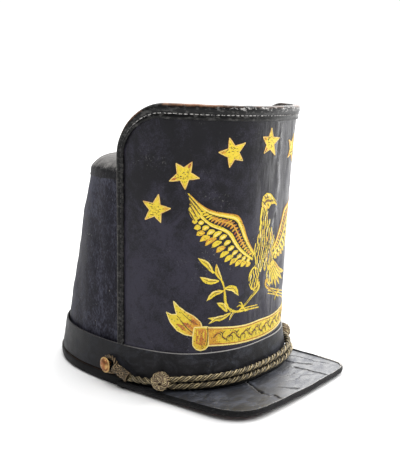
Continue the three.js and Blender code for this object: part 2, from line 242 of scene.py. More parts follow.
def smooth_path(points, step):
    """A centripetal Catmull-Rom curve through points, with points about step apart."""
    points = np.asarray(points, float)
    before = 2 * points[0] - points[1]
    after = 2 * points[-1] - points[-2]
    knots = np.vstack([before, points, after])
    pieces = []
    for index in range(1, len(knots) - 2):
        p0, p1, p2, p3 = knots[index - 1:index + 3]
        t01, t12, t23 = (max(np.linalg.norm(b - a) ** 0.5, 1e-6) for a, b in ((p0, p1), (p1, p2), (p2, p3)))
        start = (p2 - p1) + t12 * ((p1 - p0) / t01 - (p2 - p0) / (t01 + t12))
        stop = (p2 - p1) + t12 * ((p3 - p2) / t23 - (p3 - p1) / (t12 + t23))
        t = np.linspace(0, 1, 24, endpoint=False)[:, None]
        pieces.append(
            (2 * t ** 3 - 3 * t ** 2 + 1) * p1 + (t ** 3 - 2 * t ** 2 + t) * start
            + (3 * t ** 2 - 2 * t ** 3) * p2 + (t ** 3 - t ** 2) * stop
        )
    return evenly(np.vstack([*pieces, points[-1:]]), step)


def distances(line):
    """How far along a line each of its points is."""
    return np.concatenate([[0], np.cumsum(np.linalg.norm(np.diff(line, axis=0), axis=1))])


def evenly(line, step):
    """A line's own course again, with points about step apart."""
    along = distances(line)
    count = max(2, round(along[-1] / step) + 1)
    at = np.linspace(0, along[-1], count)
    return np.stack([np.interp(at, along, line[:, axis]) for axis in range(line.shape[1])], 1)


def carried_frames(path, closed=False):
    """Two cross directions along a path, turned as little as possible."""
    if closed:
        tangents = unit(np.roll(path, -1, axis=0) - np.roll(path, 1, axis=0))
    else:
        tangents = unit(np.gradient(path, axis=0))
    first = np.cross(tangents[0], [0, 0, 1])
    if np.linalg.norm(first) < 0.1:
        first = np.cross(tangents[0], [1, 0, 0])
    across = [unit(first)]
    for tangent in tangents[1:]:
        across.append(unit(across[-1] - tangent * (across[-1] @ tangent)))
    across = np.array(across)
    return across, np.cross(tangents, across)


def cross_directions(axis):
    """Two directions square to an axis that isn't upright: a level one, and one above it."""
    across = unit(np.cross(axis, [0, 0, 1]))
    return across, np.cross(axis, across)


def spun(angle, across, above):
    """Directions at an angle from across towards above."""
    return np.cos(angle)[..., None] * across + np.sin(angle)[..., None] * above


def once_round(count):
    return np.linspace(0, 2 * np.pi, count, endpoint=False)


def rounded(corners, radii, arc_steps=4, longest=None):
    """A closed flat outline with its corners rounded and its long edges divided."""
    corners = np.asarray(corners, float)
    radii = np.broadcast_to(radii, len(corners))
    outline = []
    for index, corner in enumerate(corners):
        back = corners[index - 1] - corner
        ahead = corners[(index + 1) % len(corners)] - corner
        reach = min(radii[index], np.linalg.norm(back) / 2, np.linalg.norm(ahead) / 2)
        start = corner + unit(back) * reach
        stop = corner + unit(ahead) * reach
        outline += [bend(start, corner, stop, t) for t in np.linspace(0, 1, arc_steps + 1)]
    if longest is None:
        return np.array(outline)
    divided = []
    for index, point in enumerate(outline):
        following = outline[(index + 1) % len(outline)]
        count = max(1, math.ceil(np.linalg.norm(following - point) / longest))
        divided += [mix(point, following, step / count) for step in range(count)]
    return np.array(divided)


SHARP_ANGLE = math.radians(40)


def new_object(name, data):
    """A new object, linked in the scene."""
    made = bpy.data.objects.new(name, data)
    bpy.context.scene.collection.objects.link(made)
    return made


class Shape:
    """Collects the points and faces of one piece, with marks that its material reads."""

    def __init__(self):
        self.points = []
        self.faces = []
        self.materials = []
        self.marks = {}
        self.count = 0

    def add_points(self, points, marks):
        points = np.asarray(points, float).reshape(-1, 3)
        first = self.count
        self.points.append(points)
        for name in set(marks) | set(self.marks):
            rows = self.marks.setdefault(name, [np.zeros(first)] if first else [])
            values = marks.get(name, 0.0)
            rows.append(np.broadcast_to(np.asarray(values, float).ravel(), len(points)))
        self.count += len(points)
        return first

    def solid(self, rings, closed=False, material=0, **marks):
        """Skins a solid over rings of points that follow each other, each a closed outline."""
        rings = np.asarray(rings, float)
        runs, size = rings.shape[:2]
        marks = {name: np.broadcast_to(values, (runs, size)) for name, values in marks.items()}
        first = self.add_points(rings, marks)
        index = np.arange(runs * size).reshape(runs, size) + first
        ahead = np.roll(index, -1, axis=1)
        if closed:
            lower, upper = index, np.roll(index, -1, axis=0)
            lower_ahead, upper_ahead = ahead, np.roll(ahead, -1, axis=0)
        else:
            lower, upper = index[:-1], index[1:]
            lower_ahead, upper_ahead = ahead[:-1], ahead[1:]
        quads = np.stack([lower, lower_ahead, upper_ahead, upper], -1).reshape(-1, 4)
        ends = [] if closed else [index[0][::-1], index[-1]]
        if self.volume(quads, ends) < 0:
            quads = quads[:, ::-1]
            ends = [end[::-1] for end in ends]
        faces = [tuple(quad) for quad in quads.tolist()] + [tuple(end.tolist()) for end in ends]
        self.faces += faces
        self.materials += [material] * len(faces)

    def volume(self, quads, ends):
        """Six times the signed volume inside the faces, seen from their first point."""
        points = np.vstack(self.points)
        origin = points[quads[0][0]]
        corners = points[quads] - origin
        sum_quads = np.einsum("ij,ij->", corners[:, 0], np.cross(corners[:, 1], corners[:, 2]))
        sum_quads += np.einsum("ij,ij->", corners[:, 0], np.cross(corners[:, 2], corners[:, 3]))
        for end in ends:
            fan = points[end] - origin
            sum_quads += np.einsum("ij,ij->", np.cross(fan[1:-1], fan[2:]), fan[[0]].repeat(len(fan) - 2, 0))
        return sum_quads

    def mesh(self, name):
        """Makes the mesh, in metres, smooth apart from its sharp edges."""
        mesh = bpy.data.meshes.new(name)
        mesh.from_pydata((np.vstack(self.points) * TO_METRES).tolist(), [], self.faces)
        mesh.polygons.foreach_set("use_smooth", np.ones(len(self.faces), bool))
        mesh.polygons.foreach_set("material_index", np.array(self.materials, np.int32))
        for mark, rows in self.marks.items():
            layer = mesh.attributes.new(mark, "FLOAT", "POINT")
            layer.data.foreach_set("value", np.concatenate(rows).astype(np.float32))
        mesh.update()
        mesh.set_sharp_from_angle(angle=SHARP_ANGLE)
        return mesh


def place_piece(name, shape, finishes, replaces=()):
    """Puts a finished shape in the scene as a piece of the cap."""
    mesh = shape.mesh(name)
    for finish in finishes:
        mesh.materials.append(finish)
    piece = new_object(name, mesh)
    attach(piece, BODY)
    if replaces:
        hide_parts(*replaces)
    return piece


def place_solid(name, rings, finish, slot, node, closed=False, **marks):
    """Puts one solid in the scene as a piece of the cap, for the node that it stands for."""
    shape = Shape()
    shape.solid(rings, closed, **marks)
    place_piece(name, shape, [finish], [node])


FLUTE_SIDES = 5
FLUTE_SLANT = 5.0


def rope(shape, path, diameter, strands, lay, turn, flutes, start=0.0):
    """Strands laid round each other along a path. lay is the length of one whole turn."""
    spread = math.sin(math.pi / strands)
    strand_radius = diameter / 2 * spread / (1 + spread)
    centre_radius = diameter / 2 - strand_radius
    across, above = carried_frames(path)
    angle = turn * 2 * np.pi * distances(path) / lay + start
    for strand in range(strands):
        centre = path + centre_radius * spun(angle + 2 * np.pi * strand / strands, across, above)
        strand_tube(shape, centre, strand_radius, flutes, -turn)


def strand_tube(shape, centre, radius, flutes, turn, closed=False):
    """One strand: a tube whose surface shows its yarns as slanting flutes."""
    across, above = carried_frames(centre, closed)
    around = once_round(FLUTE_SIDES * flutes)
    twist = turn * distances(centre) / (radius * FLUTE_SLANT)
    groove = 0.5 - 0.5 * np.cos(flutes * (around + twist[:, None]))
    reach = radius * (1.04 - 0.17 * groove ** 2)
    level = spun(around, across[:, None], above[:, None])
    shape.solid(centre[:, None] + reach[..., None] * level, closed=closed, groove=groove)


# Finishes

class Shade:
    """A number that varies over a surface. Sums on it add Math nodes to its material."""

    def __init__(self, finish, socket):
        self.finish = finish
        self.socket = socket

    def math(self, operation, first, second):
        return self.finish.node("ShaderNodeMath", {"operation": operation}, {0: first, 1: second})

    def __add__(self, other):
        return self.math("ADD", self, other)

    def __radd__(self, other):
        return self.math("ADD", other, self)

    def __sub__(self, other):
        return self.math("SUBTRACT", self, other)

    def __rsub__(self, other):
        return self.math("SUBTRACT", other, self)

    def __mul__(self, other):
        return self.math("MULTIPLY", self, other)

    def __rmul__(self, other):
        return self.math("MULTIPLY", other, self)

    def rise(self, low, high):
        """0 where this is below low, 1 above high, smooth between. low may be above high."""
        return self.finish.node(
            "ShaderNodeMapRange", {"interpolation_type": "SMOOTHSTEP"},
            {"Value": self, "From Min": low, "From Max": high, "To Min": 0.0, "To Max": 1.0},
        )


class Finish:
    """Builds one procedural material, node by node."""

    def __init__(self, name):
        self.material = bpy.data.materials.new(name)
        self.material.use_nodes = True
        self.start(self.material.node_tree)
        self.place = self.node("ShaderNodeTexCoord", {}, {}, "Object")

    def start(self, tree):
        self.tree = tree
        self.tree.nodes.clear()

    def node(self, kind, settings, inputs, output=0):
        """Adds a node, sets it up, fills its sockets and returns one of its outputs, if it has any."""
        made = self.tree.nodes.new(kind)
        for name, value in settings.items():
            setattr(made, name, value)
        for name, value in inputs.items():
            if isinstance(value, Shade):
                self.tree.links.new(value.socket, made.inputs[name])
            else:
                made.inputs[name].default_value = value
        if output is not None:
            return Shade(self, made.outputs[output])

    def stretched(self, stretch):
        return self.node("ShaderNodeVectorMath", {"operation": "MULTIPLY"}, {0: self.place, 1: stretch})

    def noise(self, size, detail=3.0, roughness=0.55, stretch=None, distortion=0.0):
        """Cloudy noise, 0 to 1, with features of a size in millimetres."""
        where = self.place if stretch is None else self.stretched(stretch)
        return self.node(
            "ShaderNodeTexNoise", {"noise_dimensions": "3D"},
            {"Vector": where, "Scale": 1000 / size, "Detail": detail, "Roughness": roughness,
             "Distortion": distortion},
            "Fac",
        )

    def cells(self, size, feature="F1", stretch=None):
        """Distance to the nearest of scattered points, for grain and specks."""
        where = self.place if stretch is None else self.stretched(stretch)
        return self.node(
            "ShaderNodeTexVoronoi", {"feature": feature}, {"Vector": where, "Scale": 1000 / size}, "Distance",
        )

    def mark(self, name):
        """A mark that the mesh carries."""
        return self.node("ShaderNodeAttribute", {"attribute_name": name}, {}, "Fac")

    def along(self, axis):
        """The place along an axis, in millimetres. Along Z it is the height above the floor."""
        return self.node("ShaderNodeSeparateXYZ", {}, {0: self.place}, axis) * 1000.0

    def blend(self, share, first, second):
        """A mix of two colours."""
        colours = {0: share, 6: opaque(first), 7: opaque(second)}
        return self.node("ShaderNodeMix", {"data_type": "RGBA", "clamp_factor": True}, colours, 2)

    def layers(self, colour, *coats):
        """Colours laid over each other, each given with the share of it that shows."""
        for share, coat in coats:
            colour = self.blend(share, colour, coat)
        return colour

    def bump(self, height, depth):
        """Fine relief whose full height is depth in millimetres."""
        inputs = {"Height": height, "Distance": depth * TO_METRES, "Strength": 1.0}
        return self.node("ShaderNodeBump", {}, inputs, "Normal")

    def surface(self, colour, rough, normal=None, shine=0.5, **inputs):
        """Joins everything in one surface shader and returns the material."""
        named = {"Base Color": colour, "Roughness": rough, "Specular IOR Level": shine}
        named.update({name.replace("_", " "): value for name, value in inputs.items()})
        if normal is not None:
            named["Normal"] = normal
        shader = self.node("ShaderNodeBsdfPrincipled", {}, named)
        self.node("ShaderNodeOutputMaterial", {}, {"Surface": shader}, None)
        return self.material


class Surround(Finish):
    """The same tools on the world's node tree."""

    def __init__(self, tree):
        self.start(tree)


def opaque(colour):
    if isinstance(colour, Shade):
        return colour
    return (*colour[:3], 1.0)


def cord_finish(name, light, dark):
    """Tarnished metal-wound thread: bright on the yarns, with painted shade in the grooves between them, and
    darker in its stains.
    """
    finish = Finish(name)
    groove = finish.mark("groove")
    yarn = finish.noise(0.5, 2.0, 0.6)
    stain = finish.noise(6.0, 4.0, 0.65).rise(0.38, 0.70)
    # Painted shade: the colour darkens into the grooves between the yarns, where shade falls.
    depth = (groove + 0.35 * yarn).rise(0.25, 0.95)
    worn = finish.blend(stain, light, 0.34 * light)
    bright = finish.noise(2.2, 3.0, 0.7).rise(0.55, 0.72)
    worn = finish.blend(0.7 * bright, worn, tuple(min(1.0, channel * 1.6 + 0.08) for channel in light[:3]))
    colour = finish.blend(depth, worn, dark)
    rough = 0.36 + 0.35 * stain
    normal = finish.bump(yarn - 0.6 * groove, 0.25)
    return finish.surface(colour, rough, normal, Metallic=0.35 * (1.0 - stain))


def rim_leather(colours):
    """The rim: dark leather, smudged, and browned along its top edge."""
    finish = Finish("rim_leather")
    base = 0.20 * colours.black
    grain = finish.cells(0.8)
    pores = finish.noise(0.56, 2.0, 0.6)
    cloud = finish.noise(22.0, 5.0, 0.62, (1, 1, 1), 0.5)
    rubbed = (finish.mark("wear") + 0.7 * (finish.noise(2.4, 4.0, 0.7) - 0.5)).rise(0.45, 0.85)
    dust = (cloud + 0.3 * (pores - 0.5)).rise(0.42, 0.75)
    colour = finish.layers(
        base,
        (0.10 * dust, 3.0 * base),
        (rubbed, 0.20 * colours.brown),
    )
    rough = 0.55 + 0.14 * dust + 0.15 * rubbed
    normal = finish.bump(0.6 * grain + 0.4 * pores, 0.10)
    return finish.surface(colour, rough, normal, 0.12)


def band_leather(colours):
    """The head band: black leather clouded blue-grey, its cut top edge rubbed pale towards the front."""
    finish = Finish("band_leather")
    front = finish.along("Y").rise(30.0, -70.0)
    grain = finish.cells(0.8)
    pores = finish.noise(0.6, 2.0, 0.6)
    cloud = finish.noise(15.0, 6.0, 0.68, (1, 1, 1.4), 0.8)
    cast = finish.noise(30.0, 2.0).rise(0.40, 0.62)
    dust = (cloud + 0.4 * (pores - 0.5)).rise(0.40, 0.72)
    hazed = finish.blend(cast, 3.6 * colours.black, 5.2 * colours.visor)
    colour = finish.blend((0.25 + 0.5 * front) * dust, 0.75 * colours.black, hazed)
    rag = finish.noise(2.0, 4.0, 0.7, (1, 1, 0.4))
    rubbed = (finish.mark("wear") + 0.9 * (rag - 0.5)).rise(0.62, 1.0) * (0.14 + 0.86 * front)
    colour = finish.blend(rubbed, colour, colours.rubbed)
    normal = finish.bump(0.6 * grain + 0.4 * pores + 0.5 * cloud, 0.14)
    return finish.surface(colour, 0.46 + 0.18 * dust, normal, 0.15)


def crown_leather(colours):
    """The crown's wall: black leather, mottled where it's rubbed, with a few pale scratches."""
    finish = Finish("crown_leather")
    streak = finish.noise(4.0, 5.0, 0.74, (1, 1, 0.62), 0.7)
    broad = finish.noise(30.0, 4.0, 0.65, (1, 1, 0.6), 0.6)
    fibre = finish.noise(0.9, 3.0, 0.65, (1, 1, 0.4))
    grain = finish.cells(1.0)
    wear = finish.mark("wear")
    rub = (0.60 * streak + 0.40 * broad + 0.50 * (fibre - 0.5) + 0.12 * wear).rise(0.42, 0.70)
    scratch = finish.cells(4.0, stretch=(1, 1, 0.5)).rise(0.11, 0.05)
    fleck = finish.noise(13.0, 2.0).rise(0.50, 0.62) * scratch
    pale = 6.8 * mix(colours.varnish, colours.visor, 0.45)
    colour = finish.layers(
        1.4 * colours.varnish,
        (0.95 * rub, pale),
        (0.8 * fleck, colours.rubbed),
    )
    rough = 0.46 + 0.22 * rub
    normal = finish.bump(0.4 * grain + 0.8 * fibre + 1.0 * streak, 0.24)
    return finish.surface(colour, rough, normal, 0.05)


def crown_top_leather(colours):
    """The crown's lid: worn to a pale felted grey above, and dark like the wall below."""
    finish = Finish("crown_top_leather")
    height = finish.along("Z")
    cloud = finish.noise(22.0, 6.0, 0.74)
    fibre = finish.noise(1.2, 4.0, 0.78, (1, 1, 0.6), 0.8)
    patch = finish.noise(4.0, 4.0, 0.74, (1, 1, 0.5), 0.3)
    high = (height + 8.0 * (cloud - 0.5) + 9.0 * (fibre - 0.5)).rise(171.0, 180.0)
    rub = (0.5 * cloud + 0.5 * patch + 0.5 * (fibre - 0.5)).rise(0.42, 0.70)
    dark = finish.blend(0.9 * rub, 0.8 * colours.black, 3.6 * colours.black)
    worn = (0.8 * high + 1.2 * (patch - 0.5) + 0.7 * (fibre - 0.5)).rise(0.10, 0.80)
    pale = finish.blend(cloud.rise(0.3, 0.72), 0.42 * colours.rubbed, 1.15 * colours.rubbed)
    colour = finish.blend(worn * (0.06 + 0.94 * high), dark, pale)
    normal = finish.bump(fibre + 0.8 * patch, 0.34)
    return finish.surface(colour, 0.55 + 0.2 * worn, normal, 0.08)


def plate_varnish(colours):
    """The front plate: black varnish with a blue cast, hazed and scuffed, rippled where it gleams."""
    finish = Finish("plate_varnish")
    face = finish.mark("face")
    gleam = finish.mark("gleam")
    haze = finish.noise(26.0, 6.0, 0.66, (1, 1, 0.8), 0.6)
    patchy = finish.noise(9.0, 5.0, 0.70, None, 0.8)
    streak = finish.noise(5.0, 5.0, 0.66, (1, 1, 0.13), 0.3)
    weave = finish.noise(1.0, 3.0, 0.68)
    pits = finish.cells(1.4)
    low = finish.along("Z").rise(215.0, 90.0)
    hazed = (0.60 * haze + 0.40 * patchy + 0.42 * (weave - 0.5) + 0.16 * low).rise(0.46, 0.74)
    zone = finish.noise(30.0, 3.0, 0.6).rise(0.52, 0.64)
    scuffed = zone * finish.noise(1.8, 4.0, 0.78).rise(0.56, 0.70)
    outer = finish.blend(0.95 * hazed, 0.62 * colours.varnish, 4.0 * colours.varnish)
    outer = finish.blend(0.42 * scuffed, outer, colours.rubbed)
    back = finish.blend(haze.rise(0.35, 0.7), 0.6 * colours.brown, 1.3 * colours.brown)
    colour = finish.blend(face, back, outer)
    rough = 0.37 + 0.16 * hazed + 0.2 * (1.0 - face) + 0.1 * scuffed
    gloss = gleam * (streak + 0.35 * (patchy - 0.5)).rise(0.42, 0.60)
    normal = finish.bump(0.5 * weave + 0.3 * pits + 0.4 * patchy + 3.0 * gleam * streak, 0.12)
    return finish.surface(colour, rough, normal, 0.17, Coat_Weight=0.45 * gloss, Coat_Roughness=0.16)


def binding_leather(colours):
    """The plate's binding: black, browned and rubbed along its outer edge, most at the top, with pale glints
    painted in as highlights near the top.
    """
    finish = Finish("binding_leather")
    height = finish.along("Z")
    inset = finish.mark("inset")
    rag = finish.noise(3.0, 4.0, 0.7)
    broad = finish.noise(24.0, 3.0, 0.6)
    crease = finish.noise(2.2, 3.0, 0.6, (0.5, 0.5, 1))
    corner = finish.along("X").rise(-42.0, -60.0)
    edge = (inset + 3.0 * (rag - 0.5)).rise(2.4, 0.3)
    top = height.rise(200.0, 226.0)
    browned = edge * (broad + 0.5 * (rag - 0.5)).rise(0.40, 0.58) * (0.06 + 0.30 * top + 0.60 * corner * top)
    # Painted highlight: pale glints painted into the colour along the binding's face near the top, where it
    # catches the light.
    shine = (inset + 3.0 * (rag - 0.5)).rise(5.2, 1.8) * inset.rise(0.6, 1.6)
    painted_glint = (crease + 0.5 * (rag - 0.5)).rise(0.50, 0.66) * (0.06 + 0.94 * top * (1.0 - corner) * shine)
    base = finish.blend(crease.rise(0.4, 0.7), 0.12 * colours.black, 0.4 * colours.olive)
    colour = finish.layers(
        base,
        (0.10 * edge, 0.6 * colours.rubbed),
        (browned, colours.tan),
        (0.75 * painted_glint, 2.6 * colours.rubbed),
    )
    rough = 0.44 - 0.18 * top + 0.12 * rag
    normal = finish.bump(crease + 0.6 * rag, 0.30)
    return finish.surface(colour, rough, normal, 0.20)


def waxed_thread(colours):
    """Blackened stitching thread, pale high on the plate: partly rubbed, partly a painted highlight."""
    finish = Finish("waxed_thread")
    top = finish.along("Z").rise(198.0, 222.0)
    rag = finish.noise(1.6, 3.0)
    # Partly painted highlight: the pale near the top stands for light caught on the top stitches as well as
    # for wear.
    rubbed = (0.04 + 0.96 * top) * rag.rise(0.36, 0.58)
    colour = finish.blend(rubbed, 1.4 * colours.black, 1.5 * colours.rubbed)
    return finish.surface(colour, 0.55 + 0.1 * rag, finish.bump(rag, 0.1))


def visor_varnish(colours):
    """The visor: cracked varnish over leather, glossy where it isn't smeared, brown underneath."""
    finish = Finish("visor_varnish")
    under = finish.mark("under")
    split = finish.mark("split")
    lip = finish.mark("lip")
    smear = finish.noise(7.0, 6.0, 0.70, (0.45, 1, 1), 0.8)
    cloud = finish.noise(24.0, 4.0, 0.6)
    fine = finish.noise(0.8, 3.0, 0.68)
    crazed = finish.cells(5.5, "DISTANCE_TO_EDGE")
    craze = crazed.rise(0.045, 0.0) * finish.noise(26.0).rise(0.40, 0.60)
    pits = finish.noise(1.7, 4.0, 0.72).rise(0.60, 0.72)
    worn = (0.75 * smear + 0.25 * cloud + 0.30 * (fine - 0.5)).rise(0.40, 0.72)
    colour = finish.layers(
        1.5 * colours.visor,
        (0.85 * worn, 9.5 * colours.visor),
        (0.22 * pits, 14.0 * colours.visor),
        (0.6 * craze, 0.4 * colours.black),
        (0.55 * lip, 0.9 * colours.rubbed),
        (split, 0.1 * colours.black),
        (under, finish.blend(smear, 0.5 * colours.lining, colours.lining)),
    )
    rough = 0.40 + 0.16 * worn + 0.2 * under + 0.15 * split
    gloss = (1.0 - under) * (1.0 - split) * (smear + 0.4 * (fine - 0.5)).rise(0.72, 0.38)
    normal = finish.bump(0.8 * fine + 1.0 * smear - 1.0 * craze + 0.5 * pits, 0.20)
    return finish.surface(colour, rough, normal, 0.45, Coat_Weight=0.85 * gloss, Coat_Roughness=0.32)


def visor_edge_leather(colours):
    """The visor's binding: black, with a pale broken line at its inner border, partly worn and partly a
    painted highlight.
    """
    finish = Finish("visor_edge_leather")
    inset = finish.mark("inset")
    top = finish.mark("top")
    rag = finish.noise(1.6, 4.0, 0.72)
    broad = finish.noise(26.0, 3.0, 0.6)
    front = finish.along("Y").rise(-85.0, -105.0)
    # Partly painted highlight: the pale line along the front's top crease stands for light caught there as
    # well as for wear.
    border = inset.rise(1.1, 1.5) * top * (rag + 0.3 * broad).rise(0.50, 0.66) * front
    corner = inset.rise(0.9, 0.1) * rag.rise(0.5, 0.7)
    colour = finish.layers(
        0.35 * colours.black,
        (broad.rise(0.4, 0.7), 0.9 * colours.black),
        (0.12 * corner, 0.6 * colours.rubbed),
        (border, 3.0 * colours.rubbed),
    )
    rough = 0.48 + 0.15 * rag
    normal = finish.bump(rag, 0.22)
    return finish.surface(colour, rough, normal, 0.12)


def gilt_brass(colours):
    """Worn gilding over copper, tarnished in its hollows."""
    finish = Finish("gilt_brass")
    rim = finish.mark("rim")
    cloud = finish.noise(3.0, 4.0, 0.6)
    scratch = finish.noise(0.5, 2.0, 0.6)
    copper = (cloud - 0.5 * rim).rise(0.28, 0.52)
    colour = finish.blend(copper, 0.60 * colours.gilt, 0.42 * colours.copper)
    tarnish = finish.noise(1.6, 4.0).rise(0.58, 0.72)
    colour = finish.blend(0.6 * tarnish * (1.0 - rim), colour, 0.6 * colours.brown)
    rough = 0.26 + 0.24 * cloud + 0.2 * tarnish
    return finish.surface(colour, rough, finish.bump(0.5 * cloud + 0.3 * scratch, 0.10), Metallic=0.95)


def gold_paint(colours):
    """Gold size paint: yellow to orange and red, flecked where it has flaked."""
    finish = Finish("gold_paint")
    tone = finish.mark("tone")
    cloud = finish.noise(6.0, 4.0, 0.68)
    rag = finish.noise(1.3, 3.0, 0.72)
    warm = (tone + 1.3 * (cloud - 0.5) + 0.8 * (rag - 0.5)).rise(0.30, 0.90)
    hot = (tone + 1.0 * (cloud - 0.5) + 0.6 * (rag - 0.5)).rise(0.85, 1.35)
    colour = finish.layers(
        colours.paint_yellow,
        (warm, colours.paint_orange),
        (hot, colours.paint_red),
    )
    fade = finish.noise(1.9, 4.0, 0.75).rise(0.54, 0.68)
    colour = finish.blend(0.60 * fade, colour, 0.30 * colours.paint_orange)
    light = finish.noise(1.5, 3.0, 0.7, (1.3, 1.0, 1.0)).rise(0.58, 0.70)
    colour = finish.blend(0.45 * light, colour, colours.paint_pale)
    fleck = finish.cells(1.7).rise(0.30, 0.18) * finish.noise(5.0).rise(0.36, 0.54)
    colour = finish.blend(0.9 * fleck, colour, colours.varnish)
    rough = 0.40 + 0.2 * rag + 0.1 * fleck
    normal = finish.bump(rag - 0.6 * fleck, 0.14)
    return finish.surface(colour, rough, normal, 0.4)


def pale_paint(colours):
    """The paler yellow that picks out edges, thin and broken."""
    finish = Finish("pale_paint")
    rag = finish.noise(1.6, 3.0, 0.7)
    worn = rag.rise(0.52, 0.72)
    colour = finish.blend(0.8 * worn, colours.paint_pale, 0.6 * colours.paint_yellow)
    return finish.surface(colour, 0.42 + 0.1 * rag, finish.bump(rag, 0.08), 0.4)


def umber_paint(colours):
    """The thin dark paint that draws feathers and lines."""
    finish = Finish("umber_paint")
    rag = finish.noise(1.2, 3.0, 0.7)
    colour = finish.blend(rag.rise(0.4, 0.75), colours.paint_umber, 0.5 * colours.paint_orange)
    return finish.surface(colour, 0.45 + 0.1 * rag, finish.bump(rag, 0.08), 0.4)


# Sizes and colours

def length_prop(name, description, default):
    return bpy.props.FloatProperty(name=name, description=description, default=default, unit="LENGTH")


def colour_prop(name, description, default):
    return bpy.props.FloatVectorProperty(
        name=name, description=description, default=default, subtype="COLOR", size=3, min=0, max=1)


class CapSizes(bpy.types.PropertyGroup):
    """Sizes of the cap's finer shapes."""

    cord: length_prop("Cord", "Diameter of the cap cord", 0.0047)
    cord_lay: length_prop("Cord lay", "Length of one turn of the cord's strands", 0.0135)
    tail: length_prop("Cord tail", "Diameter of the cord between its knot and slide", 0.0054)
    loop: length_prop("Button loop", "Diameter of the loops that go round the buttons", 0.0036)
    slide: length_prop("Slide", "Diameter of the woven slides", 0.0082)
    paint: length_prop("Paint", "Thickness of one coat of paint", 0.00007)
    star: length_prop("Star", "Distance from a star's middle to its tips", 0.0118)


class CapColours(bpy.types.PropertyGroup):
    """Colours of the cap's finishes."""

    black: colour_prop("Blackened leather", "Crown, band and rim", (0.0115, 0.0112, 0.0128))
    # Also the base of painted highlights: the binding's glints, the pale line on the visor's edge and the
    # pale top stitches.
    rubbed: colour_prop("Rubbed leather", "Leather where its black has worn off", (0.30, 0.29, 0.28))
    thread: colour_prop("Cord thread", "Tarnished thread of the cord", (0.47, 0.375, 0.205))
    # Painted shade: the colour painted into the grooves between the yarns of the cords, tails, loops and
    # slides, and over the slides' end discs.
    thread_painted_shade: colour_prop("Cord shadow", "Dirt between the yarns", (0.030, 0.022, 0.010))
    brown: colour_prop("Bare leather", "Leather where it was never blacked", (0.085, 0.045, 0.028))
    tan: colour_prop("Worn binding", "The binding's worn outer edge", (0.26, 0.115, 0.05))
    olive: colour_prop("Faded binding", "The binding where its black has faded", (0.018, 0.018, 0.016))
    varnish: colour_prop("Varnish", "The front plate's black varnish", (0.0080, 0.0074, 0.0112))
    visor: colour_prop("Visor varnish", "The visor's cracked varnish", (0.0125, 0.0135, 0.0170))
    lining: colour_prop("Visor lining", "The red-brown leather under the visor", (0.12, 0.030, 0.022))
    gilt: colour_prop("Gilding", "The buttons' gilding", (0.85, 0.55, 0.22))
    copper: colour_prop("Copper", "The buttons where the gilding has gone", (0.75, 0.30, 0.12))
    slide: colour_prop("Slide thread", "Browned thread of the slides", (0.22, 0.13, 0.07))
    paint_yellow: colour_prop("Yellow paint", "Most of the emblem", (0.74, 0.56, 0.028))
    paint_orange: colour_prop("Orange paint", "Where the emblem turns warm", (0.62, 0.29, 0.020))
    paint_red: colour_prop("Red paint", "The ribbon's inner folds", (0.36, 0.060, 0.020))
    paint_pale: colour_prop("Pale paint", "Lines round the emblem", (0.86, 0.70, 0.24))
    paint_umber: colour_prop("Umber paint", "Feather lines", (0.030, 0.020, 0.012))
    floor: colour_prop("Floor", "The pale floor", (0.90, 0.90, 0.90))


class CapView(bpy.types.PropertyGroup):
    """Where the camera stands, in the cap's own frame."""

    turn: bpy.props.FloatProperty(
        name="Turn", description="Angle round the cap, from the front", default=math.radians(-48.007),
        subtype="ANGLE")
    distance: length_prop("Distance", "Distance from the cap's upright axis", 0.63555)
    height: length_prop("Height", "Height above the floor", 0.23577)
    aim_height: length_prop("Aim height", "Height of the point looked at", 0.1086)
    aim_side: length_prop("Aim aside", "How far the point looked at is to the right", 0.02188)
    roll: bpy.props.FloatProperty(
        name="Roll", description="Turn about the line of sight", default=math.radians(1.042), subtype="ANGLE")
    lens: bpy.props.FloatProperty(
        name="Lens", description="Focal length", default=54.73, unit="CAMERA")


# The camera, lights and floor

SOFTBOX_TURN = math.radians(97)
SOFTBOX_RISE = math.radians(16)


def make_camera(view):
    centre_y = CENTRE_Y * TO_METRES
    stand = np.array([
        view.distance * math.sin(view.turn), centre_y - view.distance * math.cos(view.turn), view.height])
    aim = np.array([
        math.cos(view.turn) * view.aim_side, centre_y + math.sin(view.turn) * view.aim_side, view.aim_height])
    ahead = unit(aim - stand)
    level = unit(np.cross(ahead, [0, 0, 1]))
    up = np.cross(level, ahead)
    right = math.cos(view.roll) * level + math.sin(view.roll) * up
    top = -math.sin(view.roll) * level + math.cos(view.roll) * up
    data = bpy.data.cameras.new("camera")
    data.lens = view.lens
    data.clip_start = 0.01
    data.clip_end = 100
    camera = new_object("camera", data)
    turned = Matrix(np.column_stack([right, top, -ahead]).tolist())
    camera.matrix_world = Matrix.Translation(stand.tolist()) @ turned.to_4x4()
    bpy.context.scene.camera = camera
    return ahead


def make_world(ahead):
    """A white surround to the eye, whose light comes mostly from beyond the cap and its far side."""
    world = bpy.data.worlds.new("surround")
    bpy.context.scene.world = world
    world.use_nodes = True
    finish = Surround(world.node_tree)
    direction = finish.node("ShaderNodeTexCoord", {}, {}, "Generated")
    beyond = (float(ahead[0]), float(ahead[1]), 0.0)
    level, rise = math.cos(SOFTBOX_RISE), math.sin(SOFTBOX_RISE)
    softbox = (level * math.sin(SOFTBOX_TURN), -level * math.cos(SOFTBOX_TURN), rise)
    dots = [
        finish.node("ShaderNodeVectorMath", {"operation": "DOT_PRODUCT"}, {0: direction, 1: way}, "Value")
        for way in (beyond, softbox)
    ]
    lit = 0.24 + 0.42 * dots[0].rise(-0.2, 0.9) + 2.3 * dots[1].rise(0.62, 0.96)
    seen = finish.node("ShaderNodeLightPath", {}, {}, "Is Camera Ray")
    strength = lit * (1.0 - seen) + 1.1 * seen
    background = finish.node("ShaderNodeBackground", {}, {"Color": (1, 1, 1, 1), "Strength": strength})
    finish.node("ShaderNodeOutputWorld", {}, {"Surface": background}, None)


